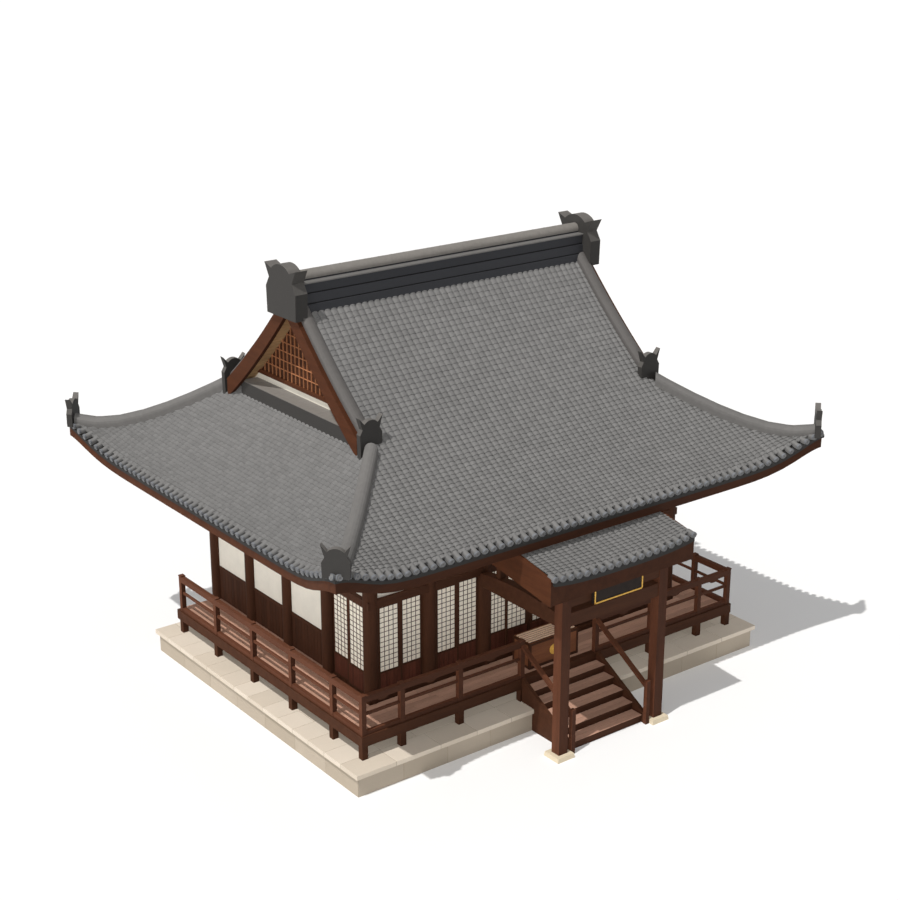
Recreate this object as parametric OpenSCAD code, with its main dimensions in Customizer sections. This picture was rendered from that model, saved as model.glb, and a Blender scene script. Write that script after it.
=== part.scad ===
// Temple hall: a timber hall on a stone platform, with a veranda, a step canopy
// and a tiled hip-and-gable roof. Millimetres, +Z up, the front faces -Y.

/* [Hall] */
// Width of each of the four outer bays of the front, between column centres
outer_bay = 1515; // [1300:5:1900]
// Width of the middle bay of the front
middle_bay = 2520; // [2300:10:2900]
// Depth of each of the four bays of a side
side_bay = 1600; // [1400:10:1900]
// Diameter of the wall columns
column_d = 320; // [260:10:360]
// Height of the column tops above the ground
column_top = 4750; // [4650:10:5000]
// Height and width of the plate on the column tops
plate_h = 230; // [180:10:280]
plate_w = 220; // [180:10:260]

/* [Platform] */
// Height of the stone platform
platform_h = 540; // [420:10:640]
// How far the paving reaches past the veranda posts and the back wall
platform_margin = 510; // [400:10:700]
// Thickness of the paving slabs
paving_t = 100; // [60:10:140]
// How far the paving overhangs the stones below it
paving_lip = 70; // [40:5:100]

/* [Floor and veranda] */
// Height of the floor above the ground
floor_h = 1085; // [960:5:1200]
// Thickness of the floor boards
board_t = 45; // [30:5:60]
// Veranda depth, from the column centres to the railing posts, at the front
front_veranda = 1090; // [950:10:1300]
// The same at the sides
side_veranda = 970; // [850:10:1200]
// Height and width of the beam along the floor's edge
edge_beam_h = 235; // [180:5:280]
edge_beam_w = 170; // [140:5:220]
// Thickness of the short posts below the edge beam
short_post = 140; // [110:5:160]

/* [Railing] */
// Height of the top rail above the floor
rail_h = 890; // [780:10:1000]
// Thickness of the railing posts
rail_post = 110; // [80:5:130]
// Height of the top rail, which is as wide as the posts
top_rail_h = 135; // [90:5:150]
// Height of the base rail
base_rail_h = 90; // [60:5:120]
// Height of the thin middle rail, and of its underside above the floor
mid_rail_h = 55; // [35:5:80]
mid_rail_up = 445; // [380:5:520]

/* [Doors] */
// Height of the sill between the columns
sill_h = 100; // [70:5:140]
// Clear height of the doorways above the sill
door_h = 2095; // [1900:5:2200]
// Height of the lintel over the doors
lintel_h = 170; // [130:5:220]
// Thickness of a sliding leaf
leaf_t = 32; // [26:1:38]
// Gap between leaves on the two tracks, and at their edges
leaf_gap = 15; // [12:1:20]
// Height of the strips that guide the leaves
track_h = 8; // [5:1:12]
// Width of a leaf's upright stiles
stile_w = 42; // [30:1:60]
// Height of the board panel at the foot of a leaf
leaf_panel_h = 455; // [350:5:600]
// How far the two leaves of a doorway overlap
leaf_lap = 42; // [30:1:60]
// Width of the inner leaves of the middle doorway
inner_leaf = 655; // [560:5:700]

/* [Stair] */
// Half the width of the stair, to the centre of its side boards
stair_half = 1080; // [950:5:1100]
// Depth of each tread, from nosing to nosing
going = 310; // [270:5:340]
// Number of risers
risers = 6; // [5:1:7]
// Thickness of the side boards
side_board_t = 80; // [60:5:110]

/* [Step canopy] */
// Half the distance between the two canopy posts
canopy_half = 1370; // [1300:10:1500]
// Distance of the canopy posts in front of the front columns
canopy_out = 2745; // [2600:5:2900]
// Thickness of a canopy post
canopy_post = 240; // [200:10:280]
// Half the width of the canopy roof
canopy_eave_half = 1960; // [1850:10:2200]
// How far the canopy eave reaches in front of its posts
canopy_eave_out = 400; // [350:10:600]
// Height of the canopy eave at its middle
canopy_eave_z = 4210; // [4150:10:4300]
// Rise of the canopy eave at its two ends
canopy_lift = 115; // [0:5:160]
// Slope of the canopy roof
canopy_slope = 0.25; // [0.20:0.01:0.28]

/* [Main roof] */
// How far the eaves reach out from the column centres, at the roof's corners
eave_out = 2450; // [2300:10:2600]
// How far the eaves bow inwards at the middle of each side
eave_bow = 230; // [0:10:300]
// Height of the tile bed where the slope starts, before the corners rise
eave_z = 4795; // [4780:5:4900]
// Slope of the roof at the eave
eave_slope = 0.44; // [0.41:0.01:0.47]
// How much the slope grows per metre towards the ridge
slope_gain = 0.119; // [0.10:0.001:0.13]
// Rise of the eaves at the corners
corner_lift = 630; // [300:10:700]
// Length of eave over which most of that rise happens
lift_reach = 1200; // [900:50:1500]
// Depth in from the eave over which it dies away
lift_fade = 800; // [600:50:1000]
// Thickness of the roof, tiles with the boards below them
roof_t = 150; // [130:10:180]
// Thickness of the roof at its edge, over the fascia
edge_t = 70; // [50:5:100]
// Plan depth of the skirt roof, from the eave to the gable
skirt_depth = 2920; // [2800:10:3000]
// Height of the board along the eave
fascia_h = 215; // [180:5:260]
// Thickness of that board
fascia_t = 60; // [40:5:80]

/* [Gables and ridges] */
// How far the roof overhangs the skirt at the gables
verge_out = 220; // [150:10:240]
// Depth and thickness of the gable boards
gable_board_h = 435; // [360:5:480]
gable_board_t = 100; // [60:5:120]
// Height of the main ridge's cap above the roof, and width of its base
ridge_h = 570; // [480:10:640]
ridge_w = 660; // [560:10:720]
// Width of the half-round ridges that run down the slopes and hips
slope_ridge_w = 290; // [240:10:300]
// Width of the plates that end the main ridge, and of those on the slopes
ridge_plate_w = 1120; // [1000:10:1200]
slope_plate_w = 530; // [460:10:560]

/* [Hidden] */
$fn = 48;
seam = 0.3;                          // closed joint between neighbouring solids

// Colours
wood = "#3a2a22";
board = "#6e5446";
stone = "#c9bda6";
plaster = "#dcd5c4";
paper = "#efe6d4";
tile = "#7d7c78";
ridge_tile = "#4a4d50";

// Column lines
hall_x = middle_bay / 2 + 2 * outer_bay;
hall_y = 2 * side_bay;
col_x = [-hall_x, -middle_bay / 2 - outer_bay, -middle_bay / 2,
         middle_bay / 2, middle_bay / 2 + outer_bay, hall_x];
col_y = [for (i = [-2:2]) i * side_bay];
col_r = column_d / 2;

// Floor edges: the lines of the railing posts
ver_x = hall_x + side_veranda;
ver_y = hall_y + front_veranda;
edge_out = edge_beam_w / 2;          // outer face of the edge beam past the posts

// Door heights
sill_top = floor_h + sill_h;
lintel_z = sill_top + door_h;
lintel_top = lintel_z + lintel_h;
plate_top = column_top + plate_h;
wall_t = 60;                         // thickness of the plank and plaster walls
frame_half = col_r - 20;             // sills and lintels stop short of the column faces

// Doorways: centre, clear width and the leaves of each
clear_outer = outer_bay - column_d;
clear_middle = middle_bay - column_d;
clear_side = side_bay - column_d;

module mirror_x() {
    children();
    mirror([1, 0, 0]) children();
}

// A bar between two corners given as [x, y, z]
module bar(a, b) {
    translate(a) cube(b - a);
}

// ---------- platform ----------
pave_x = ver_x + platform_margin;
pave_front = ver_y + platform_margin;
pave_back = hall_y + platform_margin;

module platform() {
    color(stone)
        bar([-pave_x + paving_lip, -pave_front + paving_lip, 0],
            [pave_x - paving_lip, pave_back - paving_lip, platform_h - paving_t]);
}

module paving() {
    color(stone)
        difference() {
            bar([-pave_x, -pave_front, platform_h - paving_t], [pave_x, pave_back, platform_h]);
            // notched round the side boards of the stair
            bar([-stair_half - side_board_t / 2, -pave_front - 1, platform_h - paving_t - 1],
                [stair_half + side_board_t / 2, -pave_front + paving_lip, platform_h + 1]);
        }
}

stone_h = 100;                       // canopy post stones
stone_w = 440;
canopy_y = -(hall_y + canopy_out);

module canopy_stones() {
    color(stone)
        mirror_x()
            translate([canopy_half, canopy_y, 0])
                rotate([0, 0, 45])
                    cylinder(h = stone_h, d1 = (stone_w + 30) * sqrt(2), d2 = stone_w * sqrt(2), $fn = 4);
}

// ---------- floors and veranda ----------
module floors() {
    floor_z = floor_h - board_t;
    color(board)
        difference() {
            union() {
                // hall floor, between the sills
                bar([-hall_x + frame_half, -hall_y + frame_half, floor_z],
                    [hall_x - frame_half, hall_y - frame_half, floor_h]);
                // veranda boards round three sides, inside the edge beam
                bar([-ver_x + edge_out, -ver_y + edge_out, floor_z],
                    [ver_x - edge_out, -hall_y - frame_half, floor_h]);
                mirror_x()
                    bar([hall_x + frame_half, -hall_y - frame_half + seam, floor_z],
                        [ver_x - edge_out, hall_y + col_r, floor_h]);
            }
            all_columns(column_d, floor_z - 1, floor_h + 1);
        }
}

// Posts that stand along the veranda edge
front_posts = [-ver_x, col_x[0], col_x[1], -stair_half, stair_half, col_x[4], col_x[5], ver_x];
side_posts = [for (y = col_y) y];

module veranda_frame() {
    beam_z = floor_h - edge_beam_h;
    beam_end = hall_y + col_r;
    color(wood) {
        bar([-ver_x - edge_out, -ver_y - edge_out, beam_z], [ver_x + edge_out, -ver_y + edge_out, floor_h]);
        mirror_x()
            bar([ver_x - edge_out, -ver_y + edge_out + seam, beam_z], [ver_x + edge_out, beam_end, floor_h]);
        for (x = front_posts) short_post_at(x, -ver_y, beam_z);
        for (x = [-ver_x, ver_x], y = side_posts) short_post_at(x, y, beam_z);
    }
}

module short_post_at(x, y, beam_z) {
    translate([x - short_post / 2, y - short_post / 2, platform_h])
        cube([short_post, short_post, beam_z - platform_h - seam]);
}

// ---------- railings ----------
rail_top = floor_h + rail_h;
cap_h = 25;

module rail_post_at(x, y) {
    translate([x - rail_post / 2, y - rail_post / 2, floor_h])
        cube([rail_post, rail_post, rail_h]);
    translate([x - rail_post / 2 - 8, y - rail_post / 2 - 8, rail_top])
        cube([rail_post + 16, rail_post + 16, cap_h]);
}

// Three rails between two neighbouring posts on the line y
module rails_between(x0, x1, y) {
    a = x0 + rail_post / 2 + seam;
    b = x1 - rail_post / 2 - seam;
    bar([a, y - 45, floor_h], [b, y + 45, floor_h + base_rail_h]);
    bar([a, y - 25, floor_h + mid_rail_up], [b, y + 25, floor_h + mid_rail_up + mid_rail_h]);
    bar([a, y - rail_post / 2, rail_top - top_rail_h], [b, y + rail_post / 2, rail_top - seam]);
}

// A straight railing through posts at the given places
module railing(places, y) {
    for (p = places) rail_post_at(p, y);
    for (i = [0:len(places) - 2]) rails_between(places[i], places[i + 1], y);
}

module left_railing() {
    color(wood)
        rotate([0, 0, -90]) railing([for (i = [4:-1:0]) -col_y[i]], -ver_x);
    color(wood)
        rotate([0, 0, -90]) {
            rails_between(-col_y[0], ver_y, -ver_x);
            rail_post_at(ver_y, -ver_x);
        }
}

module right_railing() {
    mirror([1, 0, 0]) left_railing();
}

module front_railing() {
    stops = [for (p = front_posts) if (p < 0) p];
    color(wood)
        mirror_x() {
            rails_between(stops[0], stops[1], -ver_y);
            railing([for (i = [1:len(stops) - 1]) stops[i]], -ver_y);
        }
}

// ---------- columns and frame ----------
module all_columns(d, z0, z1) {
    for (x = col_x, y = [-hall_y, hall_y]) translate([x, y, z0]) cylinder(h = z1 - z0, d = d);
    for (x = [-hall_x, hall_x], y = [for (i = [1:3]) col_y[i]])
        translate([x, y, z0]) cylinder(h = z1 - z0, d = d);
}

module columns() {
    color(wood) all_columns(column_d, platform_h, column_top);
}

// A ring of timber on the column lines, cut by the columns
module frame_ring(half, z0, z1) {
    difference() {
        bar([-hall_x - half, -hall_y - half, z0], [hall_x + half, hall_y + half, z1]);
        bar([-hall_x + half, -hall_y + half, z0 - 1], [hall_x - half, hall_y - half, z1 + 1]);
        all_columns(column_d, z0 - 2, z1 + 2);
    }
}

module sills() {
    color(wood) frame_ring(frame_half, floor_h - 2 * board_t, sill_top);
}

module lintels() {
    color(wood) frame_ring(frame_half, lintel_z, lintel_top);
}

module wall_plates() {
    half = plate_w / 2;
    color(wood) {
        for (y = [-hall_y, hall_y])
            bar([-hall_x - half, y - half, column_top], [hall_x + half, y + half, plate_top]);
        for (x = [-hall_x, hall_x])
            bar([x - half, -hall_y + half + seam, column_top], [x + half, hall_y - half - seam, plate_top]);
    }
}

// ---------- walls ----------
dado_top = floor_h + 905;            // top of the planks below the plaster

// Wall panels between neighbouring columns, from z0 to z1
module bay_panel_x(x0, x1, y, z0, z1, t) {
    bar([x0, y - t / 2, z0], [x1, y + t / 2, z1]);
}

module bay_panels(z0, z1, t, front_bays, door_side_bay) {
    difference() {
        union() {
            if (front_bays)
                for (i = [0:4]) bay_panel_x(col_x[i], col_x[i + 1], -hall_y, z0, z1, t);
            for (i = [0:4]) bay_panel_x(col_x[i], col_x[i + 1], hall_y, z0, z1, t);
            for (x = [-hall_x, hall_x], i = [(door_side_bay ? 0 : 1):3])
                bar([x - t / 2, col_y[i], z0], [x + t / 2, col_y[i + 1], z1]);
        }
        all_columns(column_d, z0 - 1, z1 + 1);
    }
}

module plank_walls() {
    color(wood) bay_panels(sill_top, dado_top, wall_t, false, false);
}

module plaster_walls() {
    color(plaster) {
        bay_panels(dado_top, lintel_z, wall_t, false, false);
        bay_panels(lintel_top, column_top, wall_t, true, true);
    }
}

// ---------- sliding leaves ----------
track_y = (leaf_t + leaf_gap) / 2;   // the two tracks lie either side of the column line
leaf_seat = 0.5;                     // a leaf rests this far over its sill
leaf_z0 = sill_top + leaf_seat;
leaf_h = door_h - leaf_seat - 6;
track_w = leaf_gap - 10;             // guide strips stay 5 mm clear of the leaves

// Guide strips over one doorway, w wide, centred on the column line
module tracks(w) {
    for (y = [0, track_y + leaf_t / 2 + 5 + track_w / 2, -track_y - leaf_t / 2 - 5 - track_w / 2])
        for (z = [sill_top, lintel_z - track_h])
            translate([-w / 2, y - track_w / 2, z]) cube([w, track_w, track_h]);
}

module door_tracks() {
    color(wood) {
        for (i = [0, 1, 3, 4]) translate([(col_x[i] + col_x[i + 1]) / 2, -hall_y, 0]) tracks(clear_outer);
        translate([0, -hall_y, 0]) tracks(clear_middle);
        for (x = [-hall_x, hall_x])
            translate([x, (col_y[0] + col_y[1]) / 2, 0]) rotate([0, 0, 90]) tracks(clear_side);
    }
}

// One leaf standing on z = 0 with its centre on the origin, w wide along X
module leaf(w) {
    h = leaf_h;
    panel_top = leaf_panel_h;
    head = stile_w;
    color(wood)
        difference() {
            translate([-w / 2, -leaf_t / 2, 0]) cube([w, leaf_t, h]);
            translate([-w / 2 + stile_w, -leaf_t / 2 - 1, panel_top])
                cube([w - 2 * stile_w, leaf_t + 2, h - panel_top - head]);
            translate([-w / 2 + stile_w, -leaf_t / 2 - 1, stile_w])
                cube([w - 2 * stile_w, leaf_t / 2 - 6, panel_top - 2 * stile_w]);
        }
    color(paper)
        translate([-w / 2 + stile_w, -3, panel_top])
            cube([w - 2 * stile_w, 6, h - panel_top - head]);
}

outer_leaf_w = (clear_outer - 2 * leaf_gap + leaf_lap) / 2;
side_leaf_w = (clear_side - 2 * leaf_gap + leaf_lap) / 2;
fixed_leaf_w = (clear_middle - 2 * inner_leaf) / 2 + leaf_lap;

// Sliding leaves: name, track (-1 outside, 1 inside), place and the turn about Z
function outer_leaves(i, name) = let (c = (col_x[i] + col_x[i + 1]) / 2,
                                      o = clear_outer / 2 - leaf_gap - outer_leaf_w / 2) [
    [str(name, "_leaf_a"), outer_leaf_w, c - o, -hall_y - track_y, 0],
    [str(name, "_leaf_b"), outer_leaf_w, c + o, -hall_y + track_y, 0]];
function side_leaves(x, s, name) = let (c = (col_y[0] + col_y[1]) / 2,
                                        o = clear_side / 2 - leaf_gap - side_leaf_w / 2) [
    [str(name, "_leaf_a"), side_leaf_w, x + s * track_y, c - o, 90],
    [str(name, "_leaf_b"), side_leaf_w, x - s * track_y, c + o, 90]];
leaves = concat(
    outer_leaves(0, "bay1"), outer_leaves(1, "bay2"),
    [["middle_leaf_a", inner_leaf - leaf_gap / 2, -inner_leaf / 2 - leaf_gap / 4, -hall_y - track_y, 0],
     ["middle_leaf_b", inner_leaf - leaf_gap / 2, inner_leaf / 2 + leaf_gap / 4, -hall_y - track_y, 0]],
    outer_leaves(3, "bay4"), outer_leaves(4, "bay5"),
    side_leaves(-hall_x, -1, "left"), side_leaves(hall_x, 1, "right"));

module sliding_leaf(l) {
    translate([l[2], l[3], leaf_z0]) rotate([0, 0, l[4]]) leaf(l[1]);
}

module fixed_leaves() {
    mirror_x()
        translate([-clear_middle / 2 + fixed_leaf_w / 2, -hall_y + track_y, sill_top])
            fixed_leaf(fixed_leaf_w);
}

module fixed_leaf(w) {
    color(wood)
        difference() {
            translate([-w / 2, -leaf_t / 2, 0]) cube([w, leaf_t, door_h]);
            translate([-w / 2 + stile_w, -leaf_t / 2 - 1, leaf_panel_h])
                cube([w - 2 * stile_w, leaf_t + 2, leaf_h - leaf_panel_h - stile_w]);
        }
    color(paper)
        translate([-w / 2 + stile_w, -3, leaf_panel_h])
            cube([w - 2 * stile_w, 6, leaf_h - leaf_panel_h - stile_w]);
}

// ---------- ceiling and eaves ----------
module ceiling() {
    color(board)
        bar([-hall_x + plate_w / 2, -hall_y + plate_w / 2, column_top],
            [hall_x - plate_w / 2, hall_y - plate_w / 2, column_top + 40]);
}

// ---------- main roof ----------
eave_x = hall_x + eave_out;
eave_y = hall_y + eave_out;
gable_x = eave_x - skirt_depth;      // inner edge of the skirt roof, under the gables
skirt_y = eave_y - skirt_depth;

// How close a place is to a corner, s away from it along the eave: 1 there, 0 far off
function near(s) = exp(-pow(s / lift_reach, 2));
// Share of the corner's rise that is left at depth d in from the eave
function fade(d) = exp(-d / lift_fade) * (1 - d / skirt_depth);
function rise(d) = eave_slope * d + slope_gain / 2000 * d * d;
function bed(d, s) = eave_z + rise(d) + corner_lift * near(s) * fade(d);
// How far the bowed eave draws a row inwards: less further in, nothing at the wall plates
soffit_in = eave_out - plate_w / 2;
function bow(d, s) = eave_bow * (1 - near(s)) * max(0, 1 - d / soffit_in);

side_steps = 32;                     // strips along each side, closer towards the corners
rows = 7;                            // rows from the fascia to the gable
fascia_d = 40;                       // the fascia is set back from the roof's edge
fascia_in = fascia_d + fascia_t;
roof_depths = concat([0, fascia_d],
                     [for (i = [0:rows]) fascia_in + i * (skirt_depth - fascia_in) / rows]);

// A closed slab between two grids of points, each given row by row from the eave in
module slab(top, under) {
    m = len(top);
    n = len(top[0]);
    function id(f, j, i) = (f * m + j) * n + i;
    faces = concat(
        [for (j = [0:m - 2], i = [0:n - 2]) each [
            [id(0, j, i), id(0, j + 1, i), id(0, j, i + 1)],
            [id(0, j, i + 1), id(0, j + 1, i), id(0, j + 1, i + 1)],
            [id(1, j, i), id(1, j, i + 1), id(1, j + 1, i)],
            [id(1, j, i + 1), id(1, j + 1, i + 1), id(1, j + 1, i)]]],
        [for (i = [0:n - 2]) each [
            [id(0, 0, i), id(0, 0, i + 1), id(1, 0, i)],
            [id(0, 0, i + 1), id(1, 0, i + 1), id(1, 0, i)],
            [id(0, m - 1, i), id(1, m - 1, i), id(0, m - 1, i + 1)],
            [id(0, m - 1, i + 1), id(1, m - 1, i), id(1, m - 1, i + 1)]]],
        [for (j = [0:m - 2]) each [
            [id(0, j, 0), id(1, j, 0), id(0, j + 1, 0)],
            [id(0, j + 1, 0), id(1, j, 0), id(1, j + 1, 0)],
            [id(0, j, n - 1), id(0, j + 1, n - 1), id(1, j, n - 1)],
            [id(0, j + 1, n - 1), id(1, j + 1, n - 1), id(1, j, n - 1)]]]);
    polyhedron(concat([for (r = top) each r], [for (r = under) each r]), faces, convexity = 6);
}

// Points of one side of the roof, q = 0 front, 1 right, 2 back, 3 left, for rows d in from
// the eave. z(d, in, s) is their height, in being d with the bow; the ends are mitred.
function side_grid(q, depths, z) = [for (d = depths) [for (i = [0:side_steps])
    let (t = sin(180 * i / side_steps - 90),
         eave_half = q % 2 == 0 ? eave_x : eave_y,
         s = (1 - abs(t)) * eave_half,
         in = d + bow(d, s),
         a = t * (eave_half - d) - (abs(t) == 1 ? t * seam : 0),
         o = (q % 2 == 0 ? eave_y : eave_x) - in,
         p = q == 0 ? [a, -o] : q == 1 ? [o, a] : q == 2 ? [-a, o] : [-o, -a])
    [p[0], p[1], z(d, in, s)]]];

// Four mitred slabs round the roof between two heights
module roof_sides(depths, top, under) {
    for (q = [0:3]) slab(side_grid(q, depths, top), side_grid(q, depths, under));
}

// Height of the underside, which steps down behind the fascia
function under_bed(d, in, s) = bed(in, s) - (d < fascia_in ? edge_t : roof_t);

module lower_roof() {
    color(tile)
        roof_sides(roof_depths, function (d, in, s) bed(in, s), function (d, in, s) under_bed(d, in, s));
}

// The soffit boards run straight from just below the roof's edge in to the wall plates
soffit_t = 40;
function soffit(d, s) = let (w = (d - fascia_in) / (soffit_in - fascia_in))
    (bed(fascia_in + bow(fascia_in, s), s) - roof_t - 2 * soffit_t) * (1 - w) + (plate_top - soffit_t) * w;

module eave_boards() {
    fascia_foot = edge_t + fascia_h;
    color(wood) {
        // fascia: hangs below the roof's edge, set back from it
        roof_sides([fascia_d, fascia_in],
                   function (d, in, s) under_bed(d, in, s) - seam,
                   function (d, in, s) bed(in, s) - fascia_foot);
        roof_sides([fascia_in + seam, soffit_in],
                   function (d, in, s) soffit(d, s) + soffit_t,
                   function (d, in, s) soffit(d, s));
    }
}

// Upper roof: the front and back slopes meet at the ridge
slope_steps = 12;
slope_line = [for (i = [0:slope_steps])
    let (d = skirt_depth + (eave_y - skirt_depth) * i / slope_steps) [d, eave_z + rise(d)]];
// Points [y, z] of the tile bed from depth d0 to d1, on the roof's own facets
function slope_pts(d0, d1, drop) =
    [for (d = concat([d0], [for (p = slope_line) if (p[0] > d0 + 1 && p[0] < d1 - 1) p[0]], [d1]))
        [eave_y - d, lookup(d, slope_line) - drop]];
function backwards(pts) = [for (i = [len(pts) - 1:-1:0]) pts[i]];
function both_sides(pts) = concat([for (p = pts) [-p[0], p[1]]],
    [for (i = [len(pts) - 1:-1:0]) if (pts[i][0] > 0) pts[i]]);

// Stands a shape drawn in Y and Z up across the hall, centred on x = 0, w long
module across(w) {
    rotate([90, 0, 90]) translate([0, 0, -w / 2]) linear_extrude(w) children();
}

// One slope in profile, from depth d0 to the ridge
module slope_section(d0, thick) {
    polygon(concat(slope_pts(d0, eave_y - seam, 0), backwards(slope_pts(d0, eave_y - seam, thick))));
}

module both_slopes() {
    children();
    mirror([0, 1, 0]) children();
}

verge_x = gable_x + verge_out;       // outer edge of the upper roof
verge_d = skirt_depth + 240;         // the overhanging verge starts clear of the skirt

module upper_roof() {
    color(tile)
        both_slopes() {
            across(2 * gable_x) slope_section(skirt_depth, roof_t);
            across(2 * verge_x) slope_section(verge_d, roof_t);
        }
}

// ---------- gables ----------
gable_wall_t = 80;
gable_wall_x = gable_x - 40;         // outer face, clear of the skirt roof
gable_foot_z = eave_z + rise(skirt_depth) - roof_t;
skirt_gap = 6;                       // clearance over the skirt roof
function skirt_z(x) = eave_z + rise(eave_x - x) + skirt_gap;

module gable_walls() {
    color(plaster)
        mirror_x()
            translate([-gable_wall_x + gable_wall_t / 2, 0, 0])
                across(gable_wall_t)
                    polygon(concat([[-skirt_y + 100, gable_foot_z]],
                                   both_sides(slope_pts(skirt_depth + 100, eave_y, roof_t + seam)),
                                   [[skirt_y - 100, gable_foot_z]]));
}

// Boards along the verges; their feet stand just clear of the skirt roof
module gable_boards() {
    foot_d = skirt_depth + 125;
    over_bed = 100;
    color("#6b4030")
        mirror_x()
            translate([-verge_x - seam - gable_board_t / 2, 0, 0])
                both_slopes()
                    across(gable_board_t)
                        difference() {
                            polygon(concat(
                                slope_pts(foot_d, eave_y - seam, -over_bed),
                                backwards(slope_pts(foot_d, eave_y - seam, gable_board_h - over_bed))));
                            square([eave_y, skirt_z(verge_x)]);
                        }
}

// Low box ridges on the skirt roof, along the feet of the gable walls
foot_ridge_top = gable_foot_z + 380;
foot_ridge_half = skirt_y - 550;     // stops short of the roof's underside

module gable_foot_ridges() {
    x0 = gable_wall_x + seam;
    x1 = verge_x - 20;
    color(ridge_tile)
        mirror_x()
            translate([0, foot_ridge_half, 0])
                rotate([90, 0, 0])
                    linear_extrude(2 * foot_ridge_half)
                        polygon([[x0, skirt_z(gable_x)], [gable_x, skirt_z(gable_x)], [x1, skirt_z(x1)],
                                 [x1, foot_ridge_top], [x0, foot_ridge_top]]);
}

// ---------- ridges ----------
ridge_z = eave_z + rise(eave_y);
ridge_plate_t = 300;
ridge_plate_x = verge_x + gable_board_t + 100;  // outer face of the plates
slope_ridge_up = 150;                // upright part of a half-round ridge
slope_ridge_x = verge_x - slope_ridge_w / 2;

// Everything below a line h above the upper roof, in profile
module below_slopes(h) {
    polygon(concat([[-eave_y, 0]], both_sides(slope_pts(skirt_depth, eave_y, -h)), [[eave_y, 0]]));
}

// The main ridge in profile: three courses, each set in from the one below, a ledge and a cap
module ridge_profile() {
    cap_r = 130;
    ledge_h = 40;
    set_in = 30;
    ledge_top = ridge_z + ridge_h - 1.6 * cap_r;
    course_h = (ledge_top - ledge_h - ridge_z + ridge_w / 2) / 3;
    foot = ridge_z - ridge_w;
    for (i = [0:2])
        translate([-ridge_w / 2 + i * set_in, foot])
            square([ridge_w - 2 * i * set_in, ledge_top - ledge_h - (2 - i) * course_h - foot]);
    translate([-ridge_w / 2 + set_in, ledge_top - ledge_h]) square([ridge_w - 2 * set_in, ledge_h]);
    translate([0, ledge_top + 0.6 * cap_r]) circle(r = cap_r);
    translate([-cap_r, ledge_top]) square([2 * cap_r, 0.6 * cap_r]);
}

module main_ridge() {
    color(ridge_tile)
        difference() {
            across(2 * verge_x) ridge_profile();
            across(2 * verge_x + 2) below_slopes(seam);
        }
}

// Outline of a ridge-end plate, w wide and stretched upwards by tall, standing on y = 0:
// straight sides, a waist, two horns and a round head between them
module plate_outline(w, tall = 1, horn = 0.973) {
    side = [[0.5, 0], [0.52, 0.52], [0.4, 0.71], [0.545, horn], [0.3125, 0.893]];
    right = [for (p = side) [w * p[0], w * tall * p[1]]];
    neck = right[4];
    head_rise = 0.125 * w * tall;
    head_r = (pow(neck[0], 2) + pow(head_rise, 2)) / (2 * head_rise);
    polygon(concat(right, [for (p = backwards(right)) [-p[0], p[1]]]));
    intersection() {
        translate([0, neck[1] + head_rise - head_r]) circle(r = head_r);
        translate([-neck[0], neck[1] - 1]) square([2 * neck[0], head_rise + 2]);
    }
}

// The plates on the slopes and corners are taller, with higher horns
module small_plate() {
    plate_outline(slope_plate_w, 1.13, 1.13);
}

module ridge_ends() {
    plate_z = ridge_z - 370;
    color(ridge_tile)
        mirror_x()
            difference() {
                translate([ridge_plate_x - ridge_plate_t / 2, 0, plate_z])
                    across(ridge_plate_t) plate_outline(ridge_plate_w);
                // room for the gable boards, the slope ridges and the end of the main ridge
                across(2 * (verge_x + gable_board_t + 2 * seam)) below_slopes(100 + seam);
                across(2 * (verge_x + seam)) {
                    below_slopes(slope_ridge_up + slope_ridge_w / 2 + seam);
                    ridge_profile();
                }
            }
}

// A half-round ridge over a path of [along, height] points that climbs along +Y
module half_round_ridge(path) {
    r = slope_ridge_w / 2;
    arc = [for (a = [180:-22.5:0]) [r * cos(a), slope_ridge_up + r * sin(a)]];
    slab([for (p = path) [for (c = arc) [c[0], p[0], p[1] + c[1]]]],
         [for (p = path) [for (c = arc) [c[0], p[0], p[1]]]]);
}

slope_plate_t = 130;
slope_plate_y = skirt_y - 10;        // centre of the plates at the feet of the slope ridges

module slope_ridges() {
    foot = eave_y - slope_plate_y + slope_plate_t / 2 + seam;
    path = [for (p = slope_pts(foot, eave_y - ridge_w / 2 - seam, -seam)) [-p[0], p[1]]];
    color(ridge_tile)
        for (turn = [0, 180], sx = [-1, 1])
            rotate([0, 0, turn]) translate([sx * slope_ridge_x, 0, 0]) half_round_ridge(path);
}

// Plates at the feet of the slope ridges, cut to stand on the roof
module slope_plates() {
    plate_x = verge_x - 140;
    legs = 300;                      // reach down to the skirt roof, outside the gable
    back_z = lookup(eave_y - slope_plate_y + slope_plate_t / 2, slope_line) + seam;
    far_x = plate_x + slope_plate_w;
    color(ridge_tile)
        for (turn = [0, 180])
            rotate([0, 0, turn])
                mirror_x()
                    translate([0, -slope_plate_y + slope_plate_t / 2, 0])
                        rotate([90, 0, 0])
                            linear_extrude(slope_plate_t)
                                difference() {
                                    translate([plate_x, back_z - 50]) {
                                        small_plate();
                                        translate([-slope_plate_w / 2, -legs])
                                            square([slope_plate_w, legs + 1]);
                                    }
                                    polygon([[0, 0], [0, back_z], [gable_x + 1, back_z],
                                             [gable_x + 1, skirt_z(gable_x)],
                                             [far_x, skirt_z(far_x)], [far_x, 0]]);
                                }
}

// Height for a hip ridge at depth d: over the mitre, and over the roof beside it
hip_side = slope_ridge_w / sqrt(8);
hip_gap = 4;
mitre = [for (d = roof_depths) [d, bed(d, 0)]];
beside = [for (d = roof_depths) [d, bed(d, 2 * hip_side)]];
function hip_z(d) = max(lookup(d, mitre) + seam, lookup(d - hip_side, beside) + hip_gap);

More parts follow.
